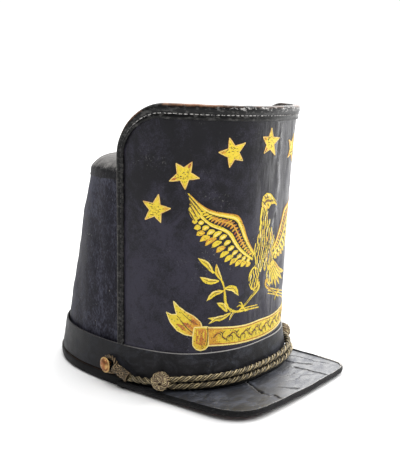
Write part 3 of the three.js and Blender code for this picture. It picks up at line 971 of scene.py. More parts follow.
def make_lights():
    """A broad lamp overhead, and an upright strip that only shows as a gleam down the plate's far side."""
    overhead = bpy.data.lights.new("overhead", "SUN")
    overhead.energy = 4.4
    overhead.angle = math.radians(100)
    lamp = new_object("overhead", overhead)
    lamp.rotation_euler = (math.radians(8), math.radians(14), 0)
    strip = bpy.data.lights.new("strip", "AREA")
    strip.shape = "RECTANGLE"
    strip.size = 0.012
    strip.size_y = 0.26
    strip.energy = 0.15
    lamp = new_object("strip", strip)
    lamp.location = (0.240, -0.185, 0.132)
    lamp.rotation_euler = (math.radians(90), 0, math.radians(65))
    lamp.visible_camera = False
    lamp.visible_diffuse = False


def make_floor(colour):
    mesh = bpy.data.meshes.new("floor")
    reach = 12.0
    mesh.from_pydata([(-reach, -reach, 0), (reach, -reach, 0), (reach, reach, 0), (-reach, reach, 0)], [],
                     [(0, 1, 2, 3)])
    floor = new_object("floor", mesh)
    finish = Finish("floor_paper")
    tone = finish.blend(finish.noise(400.0), colour, 0.985 * colour)
    mesh.materials.append(finish.surface(tone, 0.75, shine=0.0))


# Operators

class CapOperator:
    """What every operator here shares: it builds in the scene, from the scene's sizes and colours."""

    bl_options = {"REGISTER", "UNDO"}

    def execute(self, context):
        self.build(context.scene)
        return {"FINISHED"}


class CAP_OT_stage(CapOperator, bpy.types.Operator):
    """Stand the camera, lights and floor"""

    bl_idname = "cap.stage"
    bl_label = "Stage"

    def build(self, scene):
        make_world(make_camera(scene.cap_view))
        make_lights()
        make_floor(scene.cap_colours.floor)
        scene.view_settings.view_transform = "Standard"


SIDES = (("right", 1), ("left", -1))


class CAP_OT_cords(CapOperator, bpy.types.Operator):
    """Lay the two runs of the cap cord along the band"""

    bl_idname = "cap.cords"
    bl_label = "Cords"

    def build(self, scene):
        sizes, colours = scene.cap_sizes, scene.cap_colours
        finish = cord_finish("cord_thread", colours.thread, colours.thread_painted_shade)
        kinds = ("woven_knot", "twisted_tail", "braided_slide", "twisted_loop")
        fittings = [f"{kind}_{name}" for kind in kinds for name in ("right", "left")]
        runs = (
            ("cord_upper", UPPER_CORD_ROUTE, 0.0, fittings),
            ("cord_lower", LOWER_CORD_ROUTE, 1.3, []),
        )
        for node, route, start, extras in runs:
            path = smooth_path([base_point(place, 1) for place in route], 0.6)
            shape = Shape()
            rope(shape, path, sizes.cord / TO_METRES, 3, sizes.cord_lay / TO_METRES, -1, 3, start)
            piece = place_piece(f"{node}_rope", shape, [finish], [node])


def ring_angles(count, fine_from=None, fine_to=None, fine_count=0):
    """Angles once round the cap, closer together over one stretch if that is asked for."""
    even = np.linspace(0, 2 * np.pi, count, endpoint=False)
    if fine_from is None:
        return even
    kept = even[(even < fine_from) | (even > fine_to)]
    return np.sort(np.concatenate([kept, np.linspace(fine_from, fine_to, fine_count)]))


REAR_ANGLES = (math.radians(174), math.radians(186))
RIM_INSIDE_HALF = 83.0


class CAP_OT_base_rim(CapOperator, bpy.types.Operator):
    """Roll the rim under the head band"""

    bl_idname = "cap.base_rim"
    bl_label = "Base rim"

    def build(self, scene):
        inner = RIM_HIGH.x - RIM_INSIDE_HALF
        corners = [
            (inner, 0), (2.6, 0), (0.5, 0.9), (-0.1, 4.2),
            (0.2, 8.0), (1.6, 9.05), (3.4, 8.9), (inner, 8.9),
        ]
        section = rounded(corners, [0.4, 1.2, 1.4, 2.5, 1.6, 0.8, 0.4, 0.4], 4, 1.6)
        angle = ring_angles(420)[:, None]
        inside, z = section[:, 0], section[:, 1]
        plain = base_plan(BASE_FRONT - inside).point(angle, z)
        outer = smooth_share(inside, 4.0, 1.0)
        waves = outer * (0.22 * ripple(plain, 38, 3) + 0.07 * ripple(plain, 7, 4))
        points = base_plan(BASE_FRONT - inside).point(angle, z, waves)
        points[..., 2] = plain[..., 2]
        wear = 0.25 + 0.55 * smooth_share(z, 7.6, 8.8) * outer
        finish = rim_leather(scene.cap_colours)
        place_solid("rolled_rim", points, finish, "rim_leather", "base_rim", True, wear=wear)


LAP_ANGLES = (math.radians(176.5), math.radians(190))
LAP_THICKNESS = 0.8


class CAP_OT_head_band(CapOperator, bpy.types.Operator):
    """Wrap the head band round the foot of the cap"""

    bl_idname = "cap.head_band"
    bl_label = "Head band"

    def build(self, scene):
        back = -BAND_THICKNESS
        corners = [(back, BAND_BOTTOM), (0, BAND_BOTTOM), (0, BAND_TOP), (back, BAND_TOP)]
        section = rounded(corners, [0.2, 0.6, 0.45, 0.3], 4, 1.3)
        out, z = section[:, 0], section[:, 1]
        angle = ring_angles(460, *REAR_ANGLES, 60)[:, None]
        plan = base_plan(band_front(z))
        plain = plan.point(angle, z, out)
        outer = smooth_share(out, -0.9, -0.3)
        start, stop = LAP_ANGLES
        lap = smooth_share(angle, start, start + 0.004) * smooth_share(angle, stop, stop - 0.05)
        waves = 0.20 * ripple(plain, 48, 5) + 0.05 * ripple(plain, 9, 6)
        points = plan.point(angle, z, out + outer * (waves + LAP_THICKNESS * lap))
        points[..., 2] = plain[..., 2] + 0.22 * ripple(plain, 60, 7) * smooth_share(z, 20, BAND_TOP)
        wear = smooth_share(z, BAND_TOP - 0.9, BAND_TOP - 0.1)
        finish = band_leather(scene.cap_colours)
        place_solid("leather_band", points, finish, "band_leather", "head_band", True, wear=wear)


SKIRT_BOTTOM = 167.4
BEND_START = 170.0
BEND_STOP = 0.95


def dome_ring(angle, share, inset):
    """A ring of the crown's dome, at a share of the way out from its middle."""
    rim = wall_plan(SHOULDER).point(angle, SHOULDER, -inset)
    middle = np.array([0, CENTRE_Y + SHOULDER_SHIFT, 0])
    ring = mix(middle, rim, share)
    ring[..., 2] = DOME_BOTTOM + DOME_RISE * np.sqrt(1 - share ** DOME_POWER) - inset
    return ring


def shoulder_rings(angle, inset, count):
    """Rings that bend smoothly from the crown's wall into its dome."""
    wall = wall_plan(BEND_START).point(angle, BEND_START, -inset)
    wall_ahead = unit(wall_plan(BEND_START + 1).point(angle, BEND_START + 1, -inset) - wall)
    dome = dome_ring(angle, BEND_STOP, inset)
    dome_behind = unit(dome_ring(angle, BEND_STOP + 0.02, inset) - dome)
    reach = 0.55 * np.linalg.norm(dome - wall, axis=-1, keepdims=True)
    first = wall + wall_ahead * reach
    second = dome + dome_behind * reach
    rings = []
    for t in np.linspace(0, 1, count + 1)[1:]:
        rings.append(
            (1 - t) ** 3 * wall + 3 * t * (1 - t) ** 2 * first + 3 * t * t * (1 - t) * second + t ** 3 * dome)
    return rings


def crown_waves(points):
    """How far the crown's leather stands out, only where it is clear of the front plate."""
    clear = smooth_share(points[..., 1], CENTRE_Y - 2, CENTRE_Y + 12)
    return clear * (0.45 * ripple(points, 46, 11) + 0.14 * ripple(points, 11, 12))


def rear_seam(points):
    """A seam up the back of the crown: a low ridge with a groove where the edges meet."""
    across = np.where(points[..., 1] > CENTRE_Y, points[..., 0], 99.0)
    return 0.35 * np.exp(-(across / 2.6) ** 2) - 0.75 * np.exp(-(across / 0.45) ** 2)


def moved_out(points, distance):
    """Points moved along the level line away from the cap's axis."""
    outward = points - np.array([0, CENTRE_Y + SHOULDER_SHIFT / 2, 0])
    outward[..., 2] = 0
    return points + unit(outward) * distance[..., None]


class CAP_OT_crown_body(CapOperator, bpy.types.Operator):
    """Raise the crown's leather wall, with its seam and stitches at the back"""

    bl_idname = "cap.crown_body"
    bl_label = "Crown wall"

    def build(self, scene):
        angle = ring_angles(300, *REAR_ANGLES, 70)
        heights = np.concatenate([[BAND_BOTTOM, 20], np.linspace(BAND_TOP, BEND_START, 84)])
        outside = wall_plan(heights).point(angle[:, None], heights)
        outside = moved_out(outside, crown_waves(outside) + rear_seam(outside))
        low = np.linspace(BEND_START, BAND_BOTTOM, 24)
        inside = wall_plan(low).point(angle[:, None], low, -WALL_THICKNESS)
        points = np.concatenate([outside, inside], 1)
        wear = np.concatenate([smooth_share(heights, 120, 168) * 0.5, low * 0])
        finish = crown_leather(scene.cap_colours)
        place_solid("crown_wall", points, finish, "crown_leather", "crown_body", True, wear=wear)
        self.stitch_seam(waxed_thread(scene.cap_colours))

    def stitch_seam(self, finish):
        """A row of stitches each side of the seam."""
        shape = Shape()
        for turned in (np.pi - 0.020, np.pi + 0.020):
            for z in np.arange(BAND_TOP + 3, SKIRT_BOTTOM - 3, 4.6):
                heights = np.array([z, z + 2.9])
                plain = wall_plan(heights).point(turned, heights)
                lift = crown_waves(plain) + rear_seam(plain) + 0.12
                stitch(shape, *moved_out(plain, lift), 0.36)
        place_piece("seam_stitches", shape, [finish])


def stitch(shape, start, stop, radius):
    """One stitch: a short thread whose ends dive into the leather."""
    share = np.array([-0.06, 0.06, 0.3, 0.7, 0.94, 1.06])
    girth = np.array([0.35, 0.85, 1.0, 1.0, 0.85, 0.35]) * radius
    path = mix(start, stop, share[:, None])
    across, above = carried_frames(path)
    level = spun(once_round(7), across[:, None], above[:, None])
    shape.solid(path[:, None] + girth[:, None, None] * level)


class CAP_OT_crown_top(CapOperator, bpy.types.Operator):
    """Close the crown with its domed top, lapped a little over the wall"""

    bl_idname = "cap.crown_top"
    bl_label = "Crown top"

    def build(self, scene):
        angle = ring_angles(420)
        skirt = SKIRT_BOTTOM + np.array([0, 0.25, 0.8, 2.0])
        lap = np.array([0.05, 0.20, 0.26, 0.20])
        outside = [wall_plan(z).point(angle, z, out) for z, out in zip(skirt, lap)]
        edge_waves = 0.6 * ripple(outside[0], 30, 17)[:, None] * np.array([0, 0, 1.0])
        outside = [ring + edge_waves for ring in outside]
        outside += shoulder_rings(angle, 0.0, 16)
        outside += [dome_ring(angle, share, 0.0) for share in np.linspace(BEND_STOP, 0.04, 34)[1:]]
        outside = np.array(outside)
        fade = np.concatenate([[0, 0.3, 0.7, 1.0], np.ones(len(outside) - 4)])[:, None]
        outside = moved_out(outside, fade * crown_waves(outside))
        outside[..., 2] += 0.35 * ripple(outside, 40, 18) * smooth_share(outside[..., 2], 172, 178)
        inside = [dome_ring(angle, share, WALL_THICKNESS) for share in np.linspace(0.04, BEND_STOP, 10)]
        inside += shoulder_rings(angle, WALL_THICKNESS, 8)[-2::-1]
        foot = BEND_START + GAP
        inside += [wall_plan(foot).point(angle, foot, out) for out in (-WALL_THICKNESS, lap[0])]
        inside = np.array(inside)
        inside[-1] = moved_out(inside[-1], crown_waves(inside[-1]))
        rings = np.concatenate([outside[::-1], inside[::-1]])
        finish = crown_top_leather(scene.cap_colours)
        place_solid("crown_lid", rings, finish, "crown_leather", "crown_top")


def plate_waves(points, angle):
    """How far the front plate's leather stands out, fading out towards its ends."""
    middle = smooth_share(np.abs(angle), PLATE_EDGE, PLATE_EDGE - 0.25)
    high = smooth_share(points[..., 2], BAND_TOP, BAND_TOP + 20)
    return middle * high * (0.30 * ripple(points, 60, 21) + 0.09 * ripple(points, 17, 22))


def plate_point(angle, z, out=0.0):
    """A point on or over the front plate's face."""
    plan = plate_plan(z)
    plain = plan.point(angle, z)
    return plan.point(angle, z, out + plate_waves(plain, angle))


def plate_top(angle):
    return PLATE_TOP - PLATE_FRONT_DIP * np.cos(angle) ** 2


def along_plate(angle, z):
    """Millimetres along the plate for each radian at an angle."""
    small = 0.01
    plan = plate_plan(z)
    apart = plan.point(angle + small, z) - plan.point(angle - small, z)
    return np.linalg.norm(apart, axis=-1) / (2 * small)


def plate_half_outline(bottom, inset, side_steps, corner_steps, top_steps):
    """Angle, height and turn along the plate's edge, up the wearer's right and in to the middle."""
    inset_angle = inset / along_plate(PLATE_EDGE, BAND_TOP)
    end = PLATE_EDGE - inset_angle
    side_z = np.linspace(bottom, plate_top(PLATE_EDGE) - CORNER_RADIUS, side_steps, endpoint=False)
    side = np.stack([np.full(side_steps, end), side_z, np.full(side_steps, np.pi / 2)], 1)
    turn = np.linspace(np.pi / 2, 0, corner_steps)
    angle = PLATE_CORNER + (end - PLATE_CORNER) * np.sin(turn)
    corner_z = plate_top(angle) - CORNER_RADIUS + (CORNER_RADIUS - inset) * np.cos(turn)
    corner = np.stack([angle, corner_z, turn], 1)
    top_angle = np.linspace(PLATE_CORNER, 0, top_steps + 1)[1:]
    top = np.stack([top_angle, plate_top(top_angle) - inset, np.zeros(top_steps)], 1)
    return np.vstack([side, corner, top])


class CAP_OT_front_plate(CapOperator, bpy.types.Operator):
    """Curve the tall front plate round the crown"""

    bl_idname = "cap.front_plate"
    bl_label = "Front plate"

    def build(self, scene):
        half = plate_half_outline(BAND_TOP, BINDING_THICKNESS + GAP, 1, 36, 100)[1:]
        both = np.vstack([half, half[-2::-1] * [-1, 1, 1]])
        up = np.concatenate([np.linspace(0, 0.115, 6), np.linspace(0.12, 1, 96)])
        down = np.linspace(1, 0, 30)
        rings = []
        for angle, top, _ in both:
            z = mix(BAND_BOTTOM, top, up)
            face = plate_point(np.full(len(z), angle), z)
            low = mix(BAND_BOTTOM, top, down)
            back = plate_plan(low).point(angle, low, -PLATE_THICKNESS)
            rings.append(np.vstack([face, back]))
        face_mark = np.concatenate([np.ones(len(up)), np.zeros(len(down))])
        gleam = smooth_share(both[:, 0], 0.25, 0.0)[:, None] * face_mark
        finish = plate_varnish(scene.cap_colours)
        place_solid(
            "varnished_front", rings, finish, "plate_leather", "front_plate", face=face_mark, gleam=gleam)


VALLEY_SHARE = 0.64
VALLEY_DEPTH = 1.5


def binding_section(width, share):
    """Distance in from the binding's edge, and distance out from the plate, round its section."""
    back = -PLATE_THICKNESS - GAP * share
    behind = back - BINDING_BACK * share
    leg = mix(BINDING_THICKNESS, width, share)
    valley = VALLEY_SHARE * width
    corners = [
        (width, GAP), (width, 1.5), (width - 0.9, 1.95), (mix(width, valley, 0.6), 1.9), (valley, 1.15),
        (0.52 * width, 2.1), (0.28 * width, 2.45), (0.7, 1.85), (0, GAP), (0, behind + 0.3), (0.3, behind),
        (leg, behind), (leg, back), (BINDING_THICKNESS, back), (BINDING_THICKNESS, GAP),
    ]
    radii = [0.2, 0.5, 0.8, 0.9, 0.8, 1.4, 1.4, 1.0, 1.0, 0.3, 0.3, 0.2, 0.2, 0.2, 0.2]
    return rounded(corners, radii, 3)


def binding_point(angle, z, turn, into, out):
    """A point of the binding: so far in from its edge, and so far out from the plate."""
    in_angle = angle - into * np.sin(turn) / along_plate(angle, z)
    height = z - into * np.cos(turn)
    plan = plate_plan(height)
    fade = smooth_share(out, -1.0, 0.5)
    waves = fade * plate_waves(plan.point(in_angle, height), in_angle)
    return plan.point(in_angle, height, out + waves)


class CAP_OT_front_binding(CapOperator, bpy.types.Operator):
    """Bind and stitch the front plate's edge"""

    bl_idname = "cap.front_binding"
    bl_label = "Front binding"

    def build(self, scene):
        half = plate_half_outline(BAND_TOP + GAP, 0, 110, 60, 110)
        rows = [(row, 1) for row in half] + [(row, -1) for row in half[-2::-1]]
        rings, inset, valley_line = [], [], []
        for (angle, z, turn), side in rows:
            width = mix(BINDING_TOP_WIDTH, BINDING_SIDE_WIDTH, math.sin(turn))
            share = mix(0.1, 1, smooth_share(z, SHOULDER + 3, SHOULDER + 12))
            section = binding_section(width, share)
            ring = binding_point(angle, z, turn, section[:, 0], section[:, 1])
            seam = binding_point(angle, z, turn, VALLEY_SHARE * width, VALLEY_DEPTH)
            ring[:, 0] *= side
            seam[0] *= side
            rings.append(ring)
            inset.append(section[:, 0])
            valley_line.append(seam)
        rings = np.array(rings)
        rings += 0.10 * ripple(rings, 12, 31)[..., None] * unit(rings - [0, CENTRE_Y, 120])
        finish = binding_leather(scene.cap_colours)
        place_solid("edge_binding", rings, finish, "binding_leather", "front_binding", inset=inset)
        self.stitch_line(evenly(np.array(valley_line), 0.2), waxed_thread(scene.cap_colours))

    def stitch_line(self, line, finish):
        """A row of stitches in the valley of the binding, with its points at even places on the line."""
        shape = Shape()
        random = np.random.default_rng(5)
        pitch, length = 20, 13
        for start in range(20, len(line) - pitch, pitch):
            jitter = random.normal(0, 0.08, (2, 3))
            stitch(shape, line[start] + jitter[0], line[start + length] + jitter[1], 0.38)
        place_piece("binding_stitches", shape, [finish])


VISOR_STEPS = 110
VISOR_CORNER_STEPS = 50
BENEATH_STEPS = 14
RIM_CLEARANCE = 2.4


def visor_half_outline(inset, rear_half, front_half, corner_radius):
    """One side of the visor's outline, from its rear end to the middle of its front, as on the right."""
    front_y = RIM_LOW.y - VISOR_REACH + inset
    rear = np.array([-rear_half + inset, VISOR_REAR_Y])
    corner = np.array([-front_half + inset, front_y])
    back = unit(rear - corner)
    cut = (corner_radius - inset) * math.tan((math.pi - math.acos(-back[0])) / 2)
    tangent = corner + back * cut
    side = mix(rear, tangent, np.linspace(0, 1, VISOR_STEPS, endpoint=False)[:, None])
    t = np.linspace(0, 1, VISOR_CORNER_STEPS, endpoint=False)[:, None]
    stop = corner + [cut, 0]
    x = np.linspace(stop[0], 0, VISOR_STEPS)
    middle = np.stack([x, front_y - VISOR_BOW * (1 - (x / stop[0]) ** 2)], 1)
    return np.vstack([side, bend(tangent, corner, stop, t), middle])


def visor_outline(inset):
    """The visor's outline. It is narrower on the wearer's left, where it follows the rim at first."""
    right = visor_half_outline(inset, VISOR_REAR_HALF, VISOR_FRONT_HALF, VISOR_CORNER)
    left = visor_half_outline(inset, VISOR_FAR_HALF, VISOR_FAR_HALF, VISOR_FAR_CORNER)
    plan = base_plan(BASE_FRONT)
    ahead = np.clip((CENTRE_Y - left[:, 1]) / plan.front, 0, 1)
    rim_half = plan.half * (1 - ahead ** plan.power) ** (1 / plan.power)
    left[:, 0] = np.minimum(left[:, 0], -rim_half - RIM_CLEARANCE + inset)
    left[-1, 0] = 0
    return np.vstack([right, left[-2::-1] * [-1, 1]])


def visor_height(x, y):
    """The height of the visor's upper face."""
    forward = (VISOR_REAR_Y - y) / (VISOR_REAR_Y - PEAK_LOW.y)
    twist = -VISOR_TWIST * (x / VISOR_FRONT_HALF) * forward
    return mix(VISOR_REAR_HEIGHT, VISOR_FRONT_HEIGHT, forward) + twist


def visor_waves(x, y):
    """The visor's slow unevenness, the same for its leather and its binding."""
    places = np.stack([x, y, 0 * x], -1)
    return 0.22 * ripple(places, 42, 41)


CRACKS = [  # width, depth, height of the lip beside it, and the crack's line on the visor
    (1.05, 1.8, 0.55, [
        (-20, -72), (-22, -80), (-24, -86), (-28, -92), (-31, -98), (-34, -105), (-33, -110),
        (-31, -113), (-32, -120)]),
    (0.75, 1.1, 0.4, [(-14, -106), (-12, -110), (-9, -114), (-5, -120)]),
    (0.5, 0.6, 0.15, [(-11, -114), (-10, -117), (-7, -120)]),
    (1.0, 1.0, 0.3, [(41, -72), (42, -78), (42, -84), (44, -90), (49, -98)]),
    (0.9, 0.9, 0.3, [(33, -90), (34, -99), (35, -109), (36, -120)]),
    (0.35, 0.35, 0.1, [(5, -96), (16, -99), (27, -97), (33, -99)]),
    (0.3, 0.3, 0.1, [(8, -84), (20, -88), (31, -86)]),
    (0.3, 0.35, 0.1, [(-5, -102), (8, -108), (20, -106), (30, -112)]),
    (0.45, 0.5, 0.15, [(54, -66), (58, -80), (57, -95), (61, -108)]),
    (0.35, 0.35, 0.1, [(-62, -52), (-68, -66), (-67, -80)]),
]
DEEP_CRACK = 0.7
HIGH_LIP = 0.45


def crack_relief(x, y):
    """How far the cracks cut into the visor and their lips stand up, and where both are."""
    places = np.stack([x, y], -1).reshape(-1, 2)
    flat = np.column_stack([places, np.zeros(len(places))])
    wander = 0.55 * np.stack([ripple(flat, 5.0, 51), ripple(flat, 5.0, 52)], -1)
    places = places + wander
    relief, split, lips = np.zeros((3, len(places)))
    for width, depth, rise, line in CRACKS:
        distance, side = line_distance(places, np.array(line, float))
        cut = np.exp(-(distance / width) ** 2)
        lip = np.exp(-((distance - 1.6 * width) / (0.6 * width)) ** 2) * np.where(side > 0, 1.0, 0.15)
        relief += rise * lip - depth * cut
        split = np.maximum(split, cut * min(1.0, depth / DEEP_CRACK))
        lips = np.maximum(lips, lip * min(1.0, rise / HIGH_LIP))
    return relief.reshape(x.shape), split.reshape(x.shape), lips.reshape(x.shape)


def line_distance(places, line):
    """Each place's distance from a line, and which side of it the place is on."""
    nearest = np.full(len(places), np.inf)
    side = np.zeros(len(places))
    for start, stop in zip(line[:-1], line[1:]):
        along = stop - start
        apart = places - start
        share = np.clip(apart @ along / (along @ along), 0, 1)
        gone = apart - share[:, None] * along
        distance = np.hypot(gone[:, 0], gone[:, 1])
        closer = distance < nearest
        nearest = np.where(closer, distance, nearest)
        side = np.where(closer, along[1] * apart[:, 0] - along[0] * apart[:, 1], side)
    return nearest, side


class CAP_OT_visor(CapOperator, bpy.types.Operator):
    """Cut the square-cornered visor, cracked across its varnish"""

    bl_idname = "cap.visor"
    bl_label = "Visor"

    def build(self, scene):
        outer = visor_outline(BINDING_THICKNESS + GAP)
        plan = base_plan(BASE_FRONT)
        end_share = math.asin(abs((VISOR_REAR_Y - CENTRE_Y) / plan.front) ** (plan.power / 2))
        angles = np.linspace(math.pi / 2 - end_share, end_share - math.pi / 2, len(outer))
        inner = plan.point(angles, 0, GAP)[:, :2]
        up = np.linspace(0, 1, 66)[None, :, None]
        down = np.linspace(1, 0, BENEATH_STEPS)[None, :, None]
        above = mix(inner[:, None], outer[:, None], up)
        below = mix(inner[:, None], outer[:, None], down)
        relief, split, lips = crack_relief(above[..., 0], above[..., 1])
        edge = smooth_share(up[..., 0], 1.0, 0.9)
        rise = visor_waves(above[..., 0], above[..., 1]) + relief * np.maximum(edge, 0.4)
        above_z = visor_height(above[..., 0], above[..., 1]) + rise
        sunk = visor_waves(below[..., 0], below[..., 1])
        below_z = visor_height(below[..., 0], below[..., 1]) - VISOR_THICKNESS + sunk
        top = np.dstack([above, above_z])
        bottom = np.dstack([below, below_z])
        under = np.concatenate([np.zeros(above_z.shape), np.ones(below_z.shape)], 1)
        beneath = ((0, 0), (0, BENEATH_STEPS))
        place_solid(
            "cracked_visor", np.concatenate([top, bottom], 1), visor_varnish(scene.cap_colours),
            "visor_leather", "visor", under=under, split=np.pad(split, beneath), lip=np.pad(lips, beneath),
        )


class CAP_OT_visor_binding(CapOperator, bpy.types.Operator):
    """Bind the visor's outer edge"""

    bl_idname = "cap.visor_binding"
    bl_label = "Visor binding"

    def build(self, scene):
        lower = VISOR_THICKNESS + GAP
        lift = BINDING_THICKNESS / 2
        width = VISOR_EDGE_WIDTH
        above = 0.6 * width
        corners = [
            (above, -GAP), (above, -lift), (above - 0.7, -GAP - lift), (1.0, -GAP - lift + 0.1), (0, GAP),
            (0, VISOR_THICKNESS - GAP), (1.0, lower + lift), (width, lower + lift - GAP), (width, lower),
            (BINDING_THICKNESS, lower), (BINDING_THICKNESS, -GAP),
        ]
        section = rounded(corners, [0.1, 0.3, 0.6, 0.9, 1.0, 1.0, 0.9, 0.3, 0.1, 0.1, 0.1], 4)
        outlines = {round(inset, 4): visor_outline(inset) for inset in section[:, 0]}
        count = len(next(iter(outlines.values())))
        from_end = np.minimum(np.arange(count), np.arange(count)[::-1])
        narrowing = 0.56 * smooth_share(from_end, 44, 0)
        edge = visor_outline(0)
        columns = []
        for inset, down in section:
            line = outlines[round(inset, 4)]
            line = mix(line, edge, (narrowing * (inset > BINDING_THICKNESS))[:, None])
            waves = visor_waves(line[:, 0], line[:, 1])
            columns.append(np.column_stack([line, visor_height(line[:, 0], line[:, 1]) - down + waves]))
        rings = np.array(columns).transpose(1, 0, 2)
        rings[..., 2] += 0.07 * ripple(rings, 9, 45)
        rings[..., 2] = np.maximum(rings[..., 2], 0.15)
        place_solid(
            "visor_edge", rings, visor_edge_leather(scene.cap_colours), "visor_leather", "visor_binding",
            inset=section[:, 0], top=section[:, 1] < 0.2,
        )


class CAP_OT_knots(CapOperator, bpy.types.Operator):
    """Weave the two ball knots where the cord's runs meet"""

    bl_idname = "cap.knots"
    bl_label = "Knots"

    def build(self, scene):
        colours = scene.cap_colours
        # Painted shade: the bare-leather brown is the shade painted into the knot's grooves and over its
        # core.
        finish = cord_finish("knot_thread", 1.12 * colours.thread, 0.9 * colours.brown)
        radius = (KNOT_HIGH.z - KNOT_LOW.z) / 2
        for name in ("right", "left"):
            low, high = box_mm(f"knot_{name}")
            centre = np.array((low + high) / 2)
            outward = unit(centre - [0, CENTRE_Y, centre[2]])
            shape = Shape()
            woven_ball(shape, centre, outward, radius)
            place_piece(f"woven_knot_{name}", shape, [finish], [f"knot_{name}"])


def woven_ball(shape, centre, axis, radius):
    """A round knot: one tripled strand that goes round and round and weaves over and under."""
    leads, bights, strand, weave = 4, 7, 0.86, 0.62
    across, above = cross_directions(axis)
    u = once_round(560)
    latitude = math.radians(58) * np.cos(bights * u)
    reach = radius - strand - weave + weave * np.sin((leads - 1) * bights * u)
    outward = spun(latitude, spun(leads * u, across, above), axis)
    line = centre + reach[:, None] * outward
    tangent = unit(np.roll(line, -1, axis=0) - np.roll(line, 1, axis=0))
    beside = unit(np.cross(tangent, outward))
    for offset in (-1, 0, 1):
        strand_tube(shape, line + offset * strand * 1.8 * beside, strand, 3, offset or 1, closed=True)
    # The core is marked as all groove, so it takes the painted shade that shows through the gaps between the
    # strands.
    core = radius - 3.0 * strand
    steep = np.linspace(-np.pi / 2 + 0.08, np.pi / 2 - 0.08, 16)[:, None]
    ball = spun(steep, spun(once_round(28), across, above), axis)
    shape.solid(centre + core * ball, groove=1.0)


class CAP_OT_slides(CapOperator, bpy.types.Operator):
    """Braid the slides on the cord's tails"""

    bl_idname = "cap.slides"
    bl_label = "Slides"

    def build(self, scene):
        colours = scene.cap_colours
        light = mix(colours.slide, colours.thread, 0.30)
        finish = cord_finish("slide_thread", light, 0.8 * colours.thread_painted_shade)
        radius = scene.cap_sizes.slide / TO_METRES / 2
        for name, side in SIDES:
            start, stop = (base_point(place, side) for place in SLIDE_ENDS)
            shape = Shape()
            braid(shape, start, stop, radius)
            place_piece(f"braided_slide_{name}", shape, [finish], [f"slide_{name}"])


def braid(shape, start, stop, radius):
    """A barrel of strands that cross over and under each other, with a whipped ring at each end."""
    count, strand, weave = 7, 0.84, 0.42
    axis = unit(stop - start)
    length = np.linalg.norm(stop - start)
    across, above = cross_directions(axis)

    def at(along, angle, reach):
        return start + along[..., None] * axis + reach[..., None] * spun(angle, across, above)

    share = np.linspace(0, 1, 70)
    along = mix(1.0, length - 1.0, share)
    belly = radius - strand - weave - 0.5 * (2 * share - 1) ** 4
    turning = 2 * np.pi * 0.62 * share
    for direction in (-1, 1):
        over = direction * weave * np.cos(count * turning)
        for index in range(count):
            angle = direction * turning + 2 * np.pi * index / count
            strand_tube(shape, at(along, angle, belly + over), strand, 3, direction)
    for height in (0.75, length - 0.75):
        ring = at(np.array(height), once_round(60), np.array(radius - 0.85))
        strand_tube(shape, ring, 0.72, 3, 1, closed=True)
    # The end discs are marked as all groove, so they take the painted shade inside the barrel.
    ends = np.array([[0.5], [length - 0.5]])
    shape.solid(at(ends, once_round(24), np.array(radius - 1.5)), groove=1.0)


def twist_pair(piece, node, finish, diameter, route, step, lay, flutes, start=0.0):
    """Two strands twisted along a route, on each side of the cap, and each the mirror of the other."""
    for name, side in SIDES:
        path = smooth_path([base_point(place, side) for place in route], step)
        shape = Shape()
        rope(shape, path, diameter / TO_METRES, 2, lay, side, flutes, start)
        place_piece(f"{piece}_{name}", shape, [finish], [f"{node}_{name}"])


class CAP_OT_tails(CapOperator, bpy.types.Operator):
    """Twist the short tails between the knots and the slides"""

    bl_idname = "cap.tails"
    bl_label = "Cord tails"

    def build(self, scene):
        sizes, colours = scene.cap_sizes, scene.cap_colours
        finish = cord_finish("tail_thread", 0.62 * colours.thread, colours.thread_painted_shade)
        twist_pair("twisted_tail", "cord_tail", finish, sizes.tail, TAIL_ROUTE, 0.5, 13.0, 5, 0.9)


class CAP_OT_loops(CapOperator, bpy.types.Operator):
    """Twist the loops that hold the cord to its buttons"""

    bl_idname = "cap.loops"
    bl_label = "Button loops"

    def build(self, scene):
        sizes, colours = scene.cap_sizes, scene.cap_colours
        light = mix(colours.slide, colours.thread, 0.20)
        finish = cord_finish("loop_thread", light, 1.2 * colours.thread_painted_shade)
        twist_pair("twisted_loop", "cord_loop", finish, sizes.loop, LOOP_ROUTE, 0.45, 7.0, 3)


class CAP_OT_buttons(CapOperator, bpy.types.Operator):
    """Turn the two domed buttons"""

    bl_idname = "cap.buttons"
    bl_label = "Buttons"

    def build(self, scene):
        finish = gilt_brass(scene.cap_colours)
        angle, z = BUTTON_PLACE
        band = base_plan(band_front(z))
        for name, side in SIDES:
            foot, out = (band.point(side * math.radians(angle), z, away) for away in (0.0, 1.0))
            axis = unit(unit(out - foot) + [0, BUTTON_SLANT, 0])
            shape = Shape()
            turned_button(shape, foot, axis)
            place_piece(f"domed_button_{name}", shape, [finish], [f"button_{name}"])


def turned_button(shape, foot, axis):
    """A round button: a shank, a flat back, a rolled rim and a dome inside it."""
    corners = [
        (0.02, 0.4), (1.8, 0.4), (1.8, 5.0), (6.1, 5.0), (6.6, 5.6), (6.55, 6.15), (6.1, 6.5), (5.6, 6.2),
        (5.25, 6.45), (4.6, 7.5), (3.2, 8.5), (1.6, 8.9), (0.02, 9.0),
    ]
    radii = [0, 0.3, 0.6, 0.3, 0.4, 0.4, 0.4, 0.3, 0.4, 1.2, 1.2, 1.0, 0]
    section = rounded(corners, radii, 3)
    reach, height = section.T[:, :, None, None]
    rings = foot + height * axis + reach * spun(once_round(72), *cross_directions(axis))
    shape.solid(rings, rim=smooth_share(reach[..., 0], 5.2, 5.9))


# The painted emblem. Places are millimetres along the plate from its middle, towards the
# wearer's right, and heights above the floor.

ARC_HEIGHT = 130
ARC_ANGLES = np.linspace(0, PLATE_EDGE, 500)
ARC_LENGTHS = distances(plate_plan(ARC_HEIGHT).point(ARC_ANGLES, ARC_HEIGHT))


